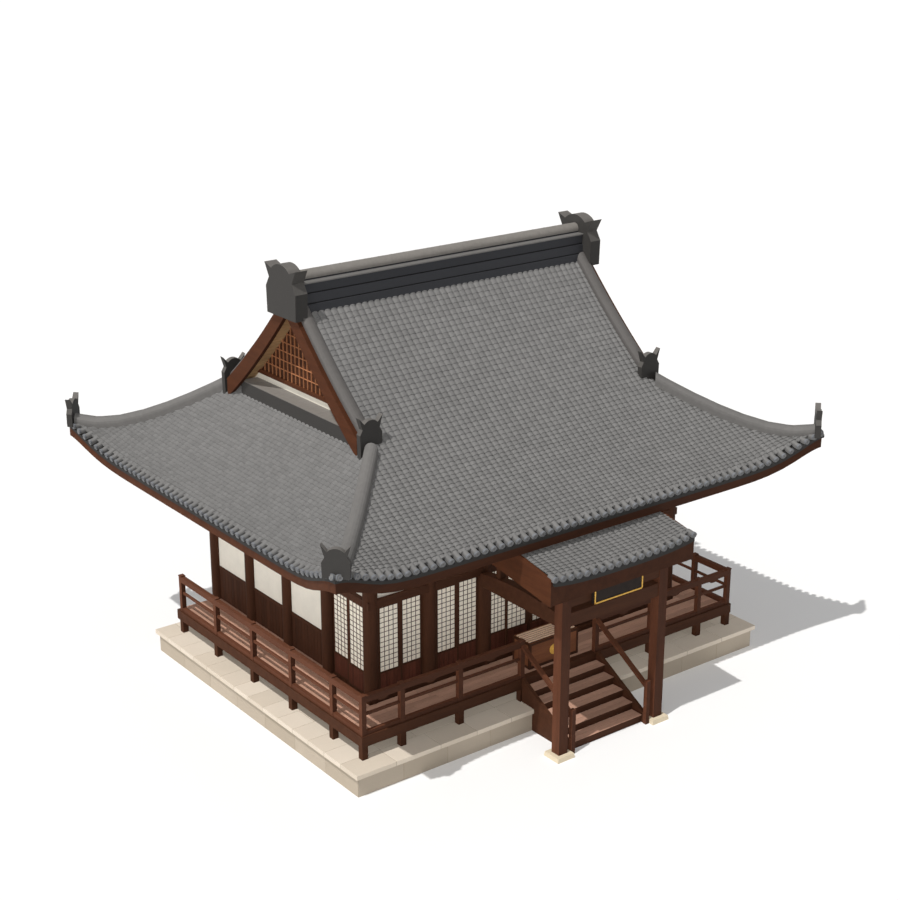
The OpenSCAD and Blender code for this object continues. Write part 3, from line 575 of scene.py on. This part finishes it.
roof_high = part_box("lower_roof")[1]
EAVE_X, EAVE_Y = roof_high.x, roof_high.y
upper_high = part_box("upper_roof")[1]
main_roof = tree_of("lower_roof", "upper_roof")
skirt_roof = tree_of("lower_roof")
SOFFIT_IN = EAVE_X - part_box("wall_plates")[1].x
SKIRT = EAVE_X - max(abs(v.co.x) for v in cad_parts["upper_roof"].data.vertices
                     if abs(abs(v.co.y) - upper_high.y) < 0.01)
RIDGE_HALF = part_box("main_ridge")[1].y
SMALL_R = 0.145  # radius of the half-round slope ridges

# Each side's place for a distance along the eave and a depth from it, and half its length
SIDES = {
    "front": (lambda u, d: (u, d - EAVE_Y), EAVE_X),
    "right": (lambda u, d: (EAVE_X - d, u), EAVE_Y),
    "back": (lambda u, d: (-u, EAVE_Y - d), EAVE_X),
    "left": (lambda u, d: (d - EAVE_X, -u), EAVE_Y),
}
EDGE_MARKS = 60  # steps in which a bowed roof edge is measured
EDGE_SHORT = 0.03  # how far the outermost ones stay from the corners


def edge_of(place, half):
    """A function for the skirt roof edge's depth at each place along an eave."""
    reach = half - EDGE_SHORT
    marks = []
    for i in range(EDGE_MARKS + 1):
        u = (2 * i / EDGE_MARKS - 1) * reach
        low, high = -0.05, 0.5
        for _ in range(14):
            middle = (low + high) / 2
            if top_of(skirt_roof, *place(u, middle)) is None:
                low = middle
            else:
                high = middle
        marks.append(high)

    def edge(u):
        t = max(0.0, min(EDGE_MARKS - 1e-6, (u / reach + 1) * EDGE_MARKS / 2))
        i = int(t)
        return marks[i] + (marks[i + 1] - marks[i]) * (t - i)
    return edge


EDGES = {name: edge_of(place, half) for name, (place, half) in SIDES.items()}


def crown_at(u):
    """Share of the crown's rise at a distance along the eave."""
    share = (u / RIB) % 1.0
    for (a, low), (b, high) in zip(CURVE, CURVE[1:]):
        if share <= b:
            return low + (high - low) * (share - a) / (b - a)
    return 0.0


def tile_sheet(build, tree, place, rows, limit, bow):
    """Courses of curved tiles on the roof between the rows, as one stepped sheet.

    rows are depths, limit(d) is half the sheet's width and bow(u, d) bends the rows in."""
    keys, verts, faces, tones = {}, [], [], []

    def vertex(j, k, high):
        reach = limit(rows[k])
        u = (j // PER_TILE + CURVE[j % PER_TILE][0]) * RIB
        u = max(-reach, min(reach, u))
        key = (round(u, 5), k, high)
        if key not in keys:
            crown = crown_at(u)
            d = rows[k] - (LIP_BOW * crown if k < len(rows) - 1 else 0)
            d += bow(u, d)
            heights = (top_of(tree, *place(u, d + nudge)) for nudge in NUDGES)
            z = next((height for height in heights if height is not None), 0)
            keys[key] = len(verts)
            verts.append((*place(u, d), z + LAID + CROWN * crown + (LIP if high else 0)))
        return keys[key]

    tiles = math.ceil(max(limit(r) for r in rows) / RIB)
    for k in range(len(rows) - 1):
        for tile in range(-tiles, tiles):
            own = rng.random()
            for j in range(tile * PER_TILE, (tile + 1) * PER_TILE):
                foot = vertex(j, k, False), vertex(j + 1, k, False)
                back = vertex(j, k + 1, False), vertex(j + 1, k + 1, False)
                lip = vertex(j, k, True), vertex(j + 1, k, True)
                for face in ((*foot, *lip[::-1]), (*lip, *back[::-1])):
                    face = list(dict.fromkeys(face))  # clipped tiles have shared corners
                    if len(face) > 2:
                        faces.append(face)
                        tones.append(own)
    build.add(verts, faces, tones)


def eave_row(discs, bars, tree, place, centres, edge):
    """Round eave tiles, each with its disc at the roof's edge."""
    for u in centres:
        d0 = edge(u)
        points = []
        for d in (d0 - BAR_OUT, d0 + 0.5 * BAR_LENGTH, d0 + BAR_LENGTH + BAR_UNDER):
            x, y = place(u, d)
            z = top_of(tree, *place(u, max(d, d0 + 0.01)))
            points.append(Vector((x, y, z + BAR_UP)))
        out = (points[0] - points[1]).normalized()
        across = UP.cross(out).normalized()
        up = out.cross(across)
        own = rng.random()
        bars.sweep([half_ring(p, across, up, BAR_R, BAR_STEPS, BAR_SIDE) for p in points[::-1]],
                   own)
        discs.lathe(DISC_PROFILE, points[0] + out * DISC_OUT, out, DISC_STEPS, own)


def course_rows(first, last, spare=0.0):
    """Depths of the courses' feet, and of the last one's top, which is spare short."""
    count = int((last - first) / COURSE) + 1
    return [first + COURSE * i for i in range(count)] + [last - spare]


def tile_side(name, discs, bars):
    """The tiles and the eave row of one side of the main roof."""
    place, half = SIDES[name]
    edge = EDGES[name]
    over_hall = name in ("front", "back")  # these run on up to the ridge

    def bow(u, d):
        return edge(u) * max(0.0, 1 - d / SOFFIT_IN)

    def limit(d):
        if over_hall and d > SKIRT:
            return upper_high.x - SMALL_R
        return half - d - HIP_GAP

    top = EAVE_Y - RIDGE_HALF + UNDER_RIDGE if over_hall else SKIRT - SHORT_OF_GABLE
    tiles = Build()
    tile_sheet(tiles, main_roof if over_hall else skirt_roof, place, course_rows(FIRST, top),
               limit, bow)
    tiles.piece(f"{name}_roof_tiles", tile_clay, "roof_tiles")
    eave_row(discs, bars, skirt_roof, place, evenly(half, DISC_PITCH), edge)


discs, bars = Build(), Build()
for name in SIDES:
    tile_side(name, discs, bars)
discs.piece("eave_discs", eave_clay, "roof_tiles")
bars.piece("eave_round_tiles", tile_clay, "roof_tiles")

canopy_low, canopy_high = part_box("canopy_roof")
canopy_tree = tree_of("canopy_roof")


def canopy_place(u, d):
    return u, canopy_low.y + d


canopy_rows = course_rows(CANOPY_FIRST, canopy_high.y - canopy_low.y, 0.002)
canopy_tiles, canopy_discs, canopy_bars = Build(), Build(), Build()
tile_sheet(canopy_tiles, canopy_tree, canopy_place, canopy_rows,
           lambda d: canopy_high.x - 0.004, lambda u, d: 0.0)
eave_row(canopy_discs, canopy_bars, canopy_tree, canopy_place,
         [CANOPY_DISC_PITCH * i for i in range(-9, 10)], lambda u: 0.0)
canopy_tiles.piece("canopy_tiles", tile_clay, "roof_tiles")
canopy_discs.piece("canopy_discs", eave_clay, "roof_tiles")
canopy_bars.piece("canopy_round_tiles", tile_clay, "roof_tiles")


# --- ridges ---
CAP_R = 0.13  # the main ridge's half-round cap
CAP_TILE = 0.34  # length of one cap tile
COLLAR = 0.03  # each cap tile ends in a wider collar
CAP_LIFTS = 0.005, 0.007  # of the tile and its collar over the CAD cap
CAP_STEPS = 24
CAP_SIDE = 0.04  # depth of the cap's sides below the half circle
LEDGE_H = 0.026  # flat tiles under the cap
LEDGE_TILE = 0.42
LEDGE_OUT = 0.012
RIDGE_COURSES = 3
SET_IN = 0.03  # of each course from the one below
FOOT_COURSE_H = 0.20  # the lowest course runs down into the tiles
JOINT_SHADOW_H = 0.024  # painted shadow, near black, in the joint at the foot of each course
COURSE_OUT, JOINT_SHADOW_OUT, COURSE_IN = 0.006, 0.003, 0.01  # from the CAD ridge's face
ridge_low, ridge_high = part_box("main_ridge")
ridge_x = ridge_low.x, ridge_high.x
cap = Build()
cap_z = ridge_high.z - CAP_R
tile_r, collar_r = (CAP_R + lift for lift in CAP_LIFTS)
for a, b in pitches(*ridge_x, CAP_TILE, 0.0):
    cap.sweep([half_ring(Vector((x, 0, cap_z)), Vector((0, -1, 0)), UP, radius, CAP_STEPS,
                         CAP_SIDE)[::-1]
               for x, radius in ((a, tile_r), (b - COLLAR, tile_r),
                                 (b - COLLAR, collar_r), (b, collar_r))])
cap.piece("ridge_cap_tiles", cap_clay, "ridge_tiles")

ledge_top = cap_z - 0.6 * CAP_R
ledge_foot = ledge_top - LEDGE_H
course_h = (ledge_foot - upper_high.z + RIDGE_HALF) / RIDGE_COURSES
courses, joint_shadows = Build(), Build()
for i in range(RIDGE_COURSES):
    z1 = ledge_foot - (RIDGE_COURSES - 1 - i) * course_h
    z0 = z1 - (course_h if i else FOOT_COURSE_H)
    face = RIDGE_HALF - i * SET_IN
    for s in (-1, 1):
        courses.wall_box(True, ridge_x, on_side(s, face - COURSE_IN, face + COURSE_OUT),
                         (z0 + JOINT_SHADOW_H, z1 - 0.002), 0.003)
        joint_shadows.wall_box(True, ridge_x, on_side(s, face - COURSE_IN, face + JOINT_SHADOW_OUT),
                        (z0 - 0.001, z0 + JOINT_SHADOW_H + 0.003))
joint_shadows.piece("ridge_course_joints", joint_clay, "ridge_tiles")
courses.piece("ridge_courses", course_clay, "ridge_tiles")
ledge = Build()
ledge_y = RIDGE_HALF - SET_IN + LEDGE_OUT
for a, b in pitches(*ridge_x, LEDGE_TILE, 0.003):
    ledge.box((a, -ledge_y, ledge_foot - 0.002), (b, ledge_y, ledge_top + 0.003), 0.004)
ledge.piece("ridge_ledge", ridge_clay, "ridge_tiles")


# --- gables ---
RECESS = 0.18  # the photo's gable walls stand further in than the CAD's
BAND_H = 0.165  # plaster that shows between the foot ridge and the sill
SILL_H, SILL_T = 0.10, 0.07
COVER_TILE = 0.44  # length of one cover tile on the foot ridge
BACK_BOARD_W = 0.15  # upright boards behind the lattice
BACK_BOARD_FACES = 0.004, 0.016  # depths of faces are measured out from the wall
LATTICE_X, LATTICE_Z = 0.16, 0.215  # spacing of the lattice
UPRIGHT_FACES, RAIL_FACES = (0.014, 0.045), (0.02, 0.05)
UPRIGHT_HALF, RAIL_HALF = 0.009, 0.008  # half their widths
SOFFIT_W, SOFFIT_GAP, SOFFIT_T = 0.16, 0.012, 0.014
SOFFIT_END = EAVE_Y - SKIRT - 0.26  # where the soffits stop, over the gable's foot
GABLE_WALL_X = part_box("gable_walls")[1].x
wall_x = GABLE_WALL_X - RECESS
verge_x = upper_high.x
band_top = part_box("gable_foot_ridges")[1].z + BAND_H
sill_top = band_top + SILL_H
upper_tree = tree_of("upper_roof")


def recessed(name, piece_name, material, inner):
    """A copy of a CAD node with its vertices at |x| < inner moved in by RECESS, standing for it."""
    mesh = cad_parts[name].data.copy()
    for vert in mesh.vertices:
        if abs(vert.co.x) < inner:
            vert.co.x -= math.copysign(RECESS, vert.co.x)
    mesh.materials.clear()
    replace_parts(place_piece(piece_name, mesh, material, HALL), name)


recessed("gable_walls", "gable_wall_plaster", plaster, GABLE_WALL_X + 0.01)
recessed("gable_foot_ridges", "gable_foot_ridge_beds", plate_clay, GABLE_WALL_X + 0.02)
foot_low, foot_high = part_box("gable_foot_ridges")
covers = Build()
for s in (-1, 1):
    x0, x1 = on_side(s, wall_x + 0.005, foot_high.x - 0.012)
    for a, b in pitches(foot_low.y + 0.01, foot_high.y - 0.01, COVER_TILE, 0.002):
        covers.box((x0, a, foot_high.z - 0.002), (x1, b, foot_high.z + 0.012), 0.004)
covers.piece("gable_foot_cover_tiles", cap_clay, "ridge_tiles")


def roof_underside(y):
    """Height of the upper roof's underside just inside the verge."""
    return underside_of(upper_tree, verge_x - 0.1, y, 5.0)


def half_span(z):
    """How far from the middle the upper roof's underside is z high."""
    low, high = 0.05, EAVE_Y - SKIRT - 0.3
    for _ in range(20):
        middle = (low + high) / 2
        under = roof_underside(middle)
        if under is not None and under > z:
            low = middle
        else:
            high = middle
    return low


back_boards, lattice, sills, soffit = Build(), Build(), Build(), Build()


def dress_gable(s):
    """Boards, lattice, sill and verge soffit of the gable on side s."""
    span = half_span(sill_top)
    x0, x1 = on_side(s, *(wall_x + face for face in BACK_BOARD_FACES))
    foot = sill_top - 0.01
    for a, b in pitches(-span, span, BACK_BOARD_W, 0.004):
        rings = []
        for y in (a, b):
            under = roof_underside(y) + 0.002
            rings.append([Vector((x, y, z)) for x, z in
                          ((x0, under), (x1, under), (x1, foot), (x0, foot))])
        back_boards.sweep(rings)
    foot_span = half_span(band_top)
    x0, x1 = on_side(s, wall_x, wall_x + SILL_T)
    sills.box((x0, -foot_span, band_top), (x1, foot_span, sill_top), 0.01)
    x0, x1 = on_side(s, *(wall_x + face for face in UPRIGHT_FACES))
    n = int(span / LATTICE_X)
    for i in range(-n, n + 1):
        y = i * LATTICE_X
        top = min(roof_underside(y - 0.01), roof_underside(y + 0.01))
        lattice.box((x0, y - UPRIGHT_HALF, foot), (x1, y + UPRIGHT_HALF, top), 0.003)
    z = sill_top + LATTICE_Z
    x0, x1 = on_side(s, *(wall_x + face for face in RAIL_FACES))
    while (reach := half_span(z + 0.02)) > 0.1:
        lattice.box((x0, -reach, z - RAIL_HALF), (x1, reach, z + RAIL_HALF), 0.003)
        z += LATTICE_Z
    # boards under the verge, laid across the slope
    x0, x1 = on_side(s, wall_x + 0.001, verge_x - 0.001)
    for sy in (-1, 1):
        for board in pitches(0.01, SOFFIT_END, SOFFIT_W, SOFFIT_GAP):
            unders = [(sy * y, roof_underside(sy * y)) for y in board]
            if any(z is None for _, z in unders):
                continue
            rings = [[Vector((x, y, z + dz)) for x, dz in
                      ((x0, 0), (x1, 0), (x1, -SOFFIT_T), (x0, -SOFFIT_T))] for y, z in unders]
            soffit.sweep(rings if sy > 0 else rings[::-1])


for s in (-1, 1):
    dress_gable(s)
back_boards.piece("gable_back_boards", dark_boards["z"], "dark_timber")
lattice.piece("gable_lattice", tan_timber, "red_timber")
sills.piece("gable_sills", red["y"], "red_timber")
soffit.piece("verge_soffits", tan_boards, "red_timber")

# --- rafters under the eaves ---
RAFTER_W, RAFTER_H, RAFTER_PITCH = 0.06, 0.075, 0.26
RAFTER_START = 0.13  # from the roof's edge to the rafters' ends
RAFTER_LEAST = 0.15  # shorter ones at the corners are left out
eave_tree = tree_of("eave_boards")
rafters = Build()
for name, (place, half) in SIDES.items():
    for u in evenly(half - 0.16, RAFTER_PITCH):
        start = EDGES[name](u) + RAFTER_START
        end = min(SOFFIT_IN - 0.01, half - abs(u) - 0.02)
        if end - start < RAFTER_LEAST:
            continue
        rings = []
        for t in (0, 0.33, 0.67, 1):
            d = start + t * (end - start)
            x, y = place(u, d)
            z = underside_of(eave_tree, x, y, 3.0)
            if z is None:
                continue
            side = Vector((*place(u + 1, d), 0)) - Vector((x, y, 0))
            rings.append([Vector((x, y, z + dz)) + side * w * RAFTER_W / 2
                          for w, dz in ((-1, 0.002), (1, 0.002), (1, -RAFTER_H), (-1, -RAFTER_H))])
        if len(rings) > 1:
            rafters.sweep(rings)
rafters.piece("eave_rafters", dark_boards["y"], "dark_timber")

# --- sliding leaves ---
STILE = 0.042  # width of the CAD leaves' stiles and rails
PANEL_H = 0.455  # height of the boards below the CAD leaves' middle rail
PAPER_T = 0.003  # half the CAD paper's thickness
COLUMNS, ROWS = 4, 13
BAR_W, BAR_OUT_X, BAR_OUT_Z = 0.011, 0.013, 0.011  # lattice bars, and how far they stand out
INNER, RAISED, LOWERED = 0.06, 0.08, 0.035  # the wider frame round the paper, inside the CAD's
FOOT_BOARD_W = 0.062


def dress_leaf(name, low, high, body, meets):
    """Paper, lattice bars and foot boards on both faces of one leaf.

    meets is the side, -1 or 1, where it meets its pair and has a wider stile, or 0."""
    along_x, along, across = wall_spans(low, high)
    mid_u, mid_t = sum(along) / 2, sum(across) / 2
    half, leaf_half = (along[1] - along[0]) / 2 - STILE, (across[1] - across[0]) / 2
    left, right = -half + INNER * (meets < 0), half - INNER * (meets > 0)
    z0, z1 = low.z + PANEL_H + RAISED, high.z - STILE - LOWERED

    def box(build, u, t, z, chamfer=0.0):
        build.wall_box(along_x, [mid_u + v for v in u], [mid_t + v for v in t], z, chamfer)

    sheet, bars, boards = Build(), Build(), Build()
    sheet_t = PAPER_T + 0.001
    box(sheet, (left, right), (-sheet_t, sheet_t), (z0, z1))
    for s in (-1, 1):
        depth = on_side(s, PAPER_T + 0.0005, BAR_OUT_X)
        for i in range(1, COLUMNS):
            u = left + (right - left) * i / COLUMNS
            box(bars, (u - BAR_W / 2, u + BAR_W / 2), depth, (z0, z1))
        depth = on_side(s, PAPER_T + 0.0005, BAR_OUT_Z)
        for i in range(1, ROWS):
            z = z0 + (z1 - z0) * i / ROWS
            box(bars, (left, right), depth, (z - BAR_W / 2, z + BAR_W / 2))
        depth = on_side(s, PAPER_T, leaf_half - 0.0005)
        if meets:
            box(bars, on_side(meets, half - INNER, half), depth, (z0 - STILE, z1 + LOWERED), 0.002)
        box(bars, (left, right), depth, (z1, z1 + LOWERED), 0.002)
        box(bars, (left, right), depth, (z0 - STILE, z0), 0.002)
        depth = on_side(s, leaf_half - 0.012, leaf_half + 0.002)
        for board in pitches(-half, half, FOOT_BOARD_W, 0.004):
            box(boards, board, depth, (low.z + STILE + 0.004, z0 - STILE - 0.004), 0.0015)
    sheet.piece(f"{name}_paper", paper, "plaster", body)
    bars.piece(f"{name}_lattice", dark["z"], "dark_timber", body)
    boards.piece(f"{name}_foot_boards", door_boards, "dark_timber", body)


for leaf in LEAVES:
    pair = leaf[:-1] + ("b" if leaf[-1] == "a" else "a")
    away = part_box(pair)[0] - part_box(leaf)[0]
    dress_leaf(leaf, *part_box(leaf), leaf, 1 if away.x + away.y > 0 else -1)
for letter, (low, high) in zip("ab", islands("fixed_leaves")):
    dress_leaf(f"fixed_leaf_{letter}", low, high, HALL, 0)

# --- plank walls ---
PLANK_W, PLANK_GAP, PLANK_OUT = 0.125, 0.005, 0.008
SILL_BOARD_Z = 0.0005, 0.008  # a board on the sill, from the planks' foot
SILL_BOARD_SHORT = 0.004  # its distance from the sill's edge
WALL_RAIL_OUT = 0.02  # the rail between the planks and the plaster
WALL_RAIL_Z = -0.02, 0.065  # from the planks' top
sill_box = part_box("sills")
planks, sill_boards, wall_rails = Build(), Build(), Build()
plank_islands = islands("plank_walls")
for low, high in plank_islands:
    along_x, u, t = wall_spans(low, high)
    for plank in pitches(*u, PLANK_W, PLANK_GAP):
        planks.wall_box(along_x, plank, (t[0] - PLANK_OUT, t[1] + PLANK_OUT),
                        (low.z, high.z), 0.003)
planks.piece("wall_planks", dark_boards["z"], "dark_timber")
for low, high in plank_islands:
    along_x, u, t = wall_spans(low, high)
    sill_low, sill_high = (corner[1 if along_x else 0] for corner in sill_box)
    if t[0] > 0:
        on_sill = t[1], sill_high - SILL_BOARD_SHORT
    else:
        on_sill = sill_low + SILL_BOARD_SHORT, t[0]
    sill_boards.wall_box(along_x, u, on_sill, [low.z + z for z in SILL_BOARD_Z], 0.003)
    wall_rails.wall_box(along_x, u, (t[0] - WALL_RAIL_OUT, t[1] + WALL_RAIL_OUT),
                        [high.z + z for z in WALL_RAIL_Z], 0.004)
sill_boards.piece("sill_boards", floor_boards["y"], "floor_boards")
wall_rails.piece("wall_rails", dark["y"], "dark_timber")

# --- carved drops under the front railing's top rail ---
DROP_T = 0.05
# Outline: distance along the rail and height under it
DROP = [(-0.25, 0.0), (-0.22, -0.024), (-0.13, -0.03), (-0.085, -0.066), (-0.03, -0.074),
        (0.03, -0.074), (0.085, -0.066), (0.13, -0.03), (0.22, -0.024), (0.25, 0.0)]
drops = Build()
rail_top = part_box("front_railing")[1].z
for low, high in islands("front_railing"):
    if high.x - low.x > 0.6 and high.z > rail_top - 0.1 and high.y - low.y > 0.08:
        x, y = (low.x + high.x) / 2, (low.y + high.y) / 2
        drops.sweep([[Vector((x + u, y + s * DROP_T / 2, low.z + 0.001 + v)) for u, v in DROP]
                     for s in (-1, 1)])
drops.piece("railing_drops", dark["x"], "dark_timber")

# --- floor boards ---
BOARD_W, BOARD_GAP, BOARD_UP, BOARD_T = 0.15, 0.004, 0.004, 0.02
FIRST_BOARD, BOARDS = (0.91, 2.6), (2.08, 2.86)  # ranges of their lengths
x_boards, y_boards = Build(), Build()
for low, high in islands("floors"):
    along_x, u, t = wall_spans(low, high)
    build = x_boards if along_x else y_boards
    top = high.z + BOARD_UP
    for board in pitches(*t, BOARD_W, BOARD_GAP):
        cuts = staggered(*u, FIRST_BOARD, BOARDS, 0.5)
        for a, b in zip(cuts, cuts[1:]):
            build.wall_box(along_x, (a + BOARD_GAP / 2, b - BOARD_GAP / 2), board,
                           (top - BOARD_T, top), 0.003)
x_boards.piece("floor_boards_along", floor_boards["x"], "floor_boards")
y_boards.piece("floor_boards_across", floor_boards["y"], "floor_boards")

# --- platform stones ---
STONE_GAP, STONE_UP = 0.008, 0.004
SLAB_W = 0.62  # depth of a row of paving slabs
FIRST_SLAB, SLABS = (0.5, 1.1), (0.85, 1.2)  # ranges of their lengths
BLOCK_W = 1.12  # length of a platform block
EDGE_LIP = 0.003  # the outer slabs reach this far past the CAD paving
NOTCH_DEPTH = 0.075  # the first row stays this far back at the stair
BLOCK_IN, BLOCK_OUT = 0.03, 0.004
pave_low, pave_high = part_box("paving")
base_low, base_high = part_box("platform")
stair_low, stair_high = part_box("stair")
notch = max(abs(stair_low.x), stair_high.x) + 0.01
slabs, blocks = Build(), Build()
for y0, y1 in pitches(pave_low.y, pave_high.y, SLAB_W, STONE_GAP):
    cuts = staggered(pave_low.x, pave_high.x, FIRST_SLAB, SLABS, 0.45)
    first_row = y0 < pave_low.y + 0.1
    if first_row:
        cuts = sorted([c for c in cuts if abs(c) > notch + 0.25] + [-notch, notch])
    back = y1 + (STONE_GAP / 2 + EDGE_LIP if y1 > pave_high.y - 0.1 else 0)
    for a, b in zip(cuts, cuts[1:]):
        if first_row and a == -notch:
            front = pave_low.y + NOTCH_DEPTH
        else:
            front = y0 - (STONE_GAP / 2 + EDGE_LIP if first_row else 0)
        left = a + (-EDGE_LIP if a == pave_low.x else STONE_GAP / 2)
        right = b + (EDGE_LIP if b == pave_high.x else -STONE_GAP / 2)
        slabs.box((left, front, pave_low.z + 0.001), (right, back, pave_high.z + STONE_UP), 0.004)
slabs.piece("paving_slabs", paving_stone, "paving_stone")
for along in (0, 1):
    across = 1 - along
    for wall in (base_low[across], base_high[across]):
        out = -1 if wall < 0 else 1
        depth = sorted((wall - out * BLOCK_IN, wall + out * BLOCK_OUT))
        for block in pitches(base_low[along], base_high[along], BLOCK_W, STONE_GAP):
            blocks.wall_box(along == 0, block, depth, (0.0, base_high.z - 0.001), 0.003)
blocks.piece("platform_blocks", podium_stone, "stone")

# --- stair ---
TREAD_IN, TREAD_UP = 0.004, 0.003
treads = Build()
for low, high in islands("stair"):
    if high.z - low.z < 0.06 and high.x - low.x > 1.5:  # a tread
        middle = (low.y + high.y) / 2
        for a, b in ((low.y + TREAD_IN, middle - 0.002), (middle + 0.002, high.y - TREAD_IN)):
            treads.box((low.x + TREAD_IN, a, high.z - 0.01),
                       (high.x - TREAD_IN, b, high.z + TREAD_UP), 0.002)
treads.piece("tread_boards", floor_boards["x"], "floor_boards")

# --- name board ---
FRAME_W, FRAME_OUT = 0.032, 0.012
plaque_low, plaque_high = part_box("name_board")
frame_bars = Build()
y0, y1 = plaque_low.y - FRAME_OUT, plaque_low.y + 0.01
for z in (plaque_low.z, plaque_high.z - FRAME_W):
    frame_bars.box((plaque_low.x, y0, z), (plaque_high.x, y1, z + FRAME_W), 0.005)
for x in (plaque_low.x, plaque_high.x - FRAME_W):
    frame_bars.box((x, y0, plaque_low.z), (x + FRAME_W, y1, plaque_high.z), 0.005)
frame_bars.piece("name_board_frame", gold, "black_lacquer")

# --- offertory box ---
POST_W, TRIM_OUT, TRIM_IN, RAIL_OUT = 0.05, 0.008, 0.012, 0.0056
FOOT_RAIL_H, TOP_RAIL_H = 0.07, 0.055
BOSS_R = 0.125
# The boss from back to front, with a rim and a raised middle: (along, radius)
BOSS_PROFILE = [(0, 0.0), (0, BOSS_R), (0.008, BOSS_R - 0.004), (0.012, BOSS_R - 0.02),
                (0.006, BOSS_R - 0.032), (0.006, 0.05), (0.016, 0.042), (0.022, 0.02), (0.024, 0)]
BOSS_STEPS = 32
SLAT_PITCH, SLAT_GAP = 0.08, 0.034
SLAT_END, SLAT_EDGE = 0.035, 0.05  # the slats lie this far inside the box's outline
SLAT_UP = 0.018
box_low, box_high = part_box("offertory_box")
trim, boss, slats, slat_shade_bed = Build(), Build(), Build(), Build()


def edges(span, out, inside):
    """The strips that reach out and inside from the ends of a span."""
    low, high = span
    return (low - out, low + inside), (high - inside, high + out)


box_x, box_y = (box_low.x, box_high.x), (box_low.y, box_high.y)
for x in edges(box_x, TRIM_OUT, POST_W):
    for y in edges(box_y, TRIM_OUT, POST_W):
        trim.wall_box(True, x, y, (box_low.z, box_high.z - 0.001), 0.004)
for z in ((box_low.z, box_low.z + FOOT_RAIL_H), (box_high.z - TOP_RAIL_H, box_high.z + 0.002)):
    for y in edges(box_y, RAIL_OUT, TRIM_IN):
        trim.wall_box(True, box_x, y, z, 0.003)
    for x in edges(box_x, RAIL_OUT, TRIM_IN):
        trim.wall_box(True, x, box_y, z, 0.003)
trim.piece("box_trim", dark_boards["x"], "dark_timber")
centre = Vector((0, box_low.y + 0.001, (box_low.z + box_high.z) / 2))
boss.lathe(BOSS_PROFILE, centre, Vector((0, -1, 0)), BOSS_STEPS, 0.5)
boss.piece("box_boss", gold, "box_timber")
slat_x = box_low.x + SLAT_END, box_high.x - SLAT_END
slat_y = box_low.y + SLAT_EDGE, box_high.y - SLAT_EDGE
# painted shade: a dark board under the slats, so that the gaps between them read as the box's
# shadowed hollow
slat_shade_bed.wall_box(True, slat_x, slat_y, (box_high.z - 0.01, box_high.z + 0.002), 0.001)
slat_shade_bed.piece("box_slat_bed", dark_boards["x"], "dark_timber")
for slat in pitches(*slat_y, SLAT_PITCH, SLAT_GAP):
    slats.wall_box(True, slat_x, slat, (box_high.z - 0.005, box_high.z + SLAT_UP), 0.003)
slats.piece("box_slats", slat_timber, "box_timber")


# --- stage ---
FLOOR_Z = -0.002  # just under the platform, so that the two never share a face
SKY_STOPS = [(0.0, (0.88, 0.88, 0.88)), (0.3, (0.33, 0.333, 0.34)), (1.0, (0.17, 0.173, 0.18))]
SUN_FROM, SUN_UP = -168.0, 62.6  # azimuth and elevation that the shadows call for


def stage():
    """A pale floor, a sky that is bright at the horizon, and the lights."""
    bpy.ops.mesh.primitive_plane_add(size=400, location=(0, 0, FLOOR_Z))
    floor = bpy.context.object
    floor.name = "studio_floor"
    paint = Paint("studio_floor", roughness=1.0, specular=0.0)
    pale = paint.ramp(paint.noise(0.05), (0.3, (0.86,) * 3), (0.7, (0.88,) * 3))
    floor.data.materials.append(paint.finish(pale))

    world = bpy.data.worlds.new("studio")
    world.use_nodes = True
    tree = world.node_tree
    place = add_node(tree, "TexCoord").outputs["Generated"]
    height = add_node(tree, "SeparateXYZ", {0: place}).outputs["Z"]
    background = tree.nodes["Background"]
    tree.links.new(add_ramp(tree, height, SKY_STOPS), background.inputs[0])
    background.inputs[1].default_value = 1.0
    bpy.context.scene.world = world
    bpy.context.scene.view_settings.view_transform = "Standard"

    sun("key_light", SUN_FROM, SUN_UP, energy=2.45, colour=(1.0, 0.985, 0.96), angle=0.7)
    # the photo's shade is even, so a weak light without shadows fills it
    sun("fill_light", -160, 42, energy=1.25, colour=(1.0, 0.99, 0.97), angle=30, shadow=False)


def sun(name, azimuth, elevation, energy, colour, angle, shadow=True):
    """A sun lamp that shines from an azimuth and elevation; angles are degrees."""
    lamp = bpy.data.lights.new(name, "SUN")
    lamp.energy = energy
    lamp.color = colour
    lamp.angle = math.radians(angle)
    lamp.use_shadow = shadow
    obj = bpy.data.objects.new(name, lamp)
    bpy.context.scene.collection.objects.link(obj)
    a, e = math.radians(azimuth), math.radians(elevation)
    towards = Vector((math.cos(e) * math.cos(a), math.cos(e) * math.sin(a), math.sin(e)))
    obj.rotation_euler = towards.to_track_quat("Z", "Y").to_euler()


def camera():
    """The photograph's viewpoint: 37 degrees round to the left, 20 degrees down."""
    cam = bpy.data.cameras.new("camera")
    cam.sensor_width = 36
    cam.lens = 68.86
    cam.clip_end = 500
    obj = bpy.data.objects.new("camera", cam)
    bpy.context.scene.collection.objects.link(obj)
    obj.location = (-22.670, -30.123, 18.558)
    obj.rotation_euler = (math.radians(70.082), 0, math.radians(-37.248))
    bpy.context.scene.camera = obj


stage()
camera()
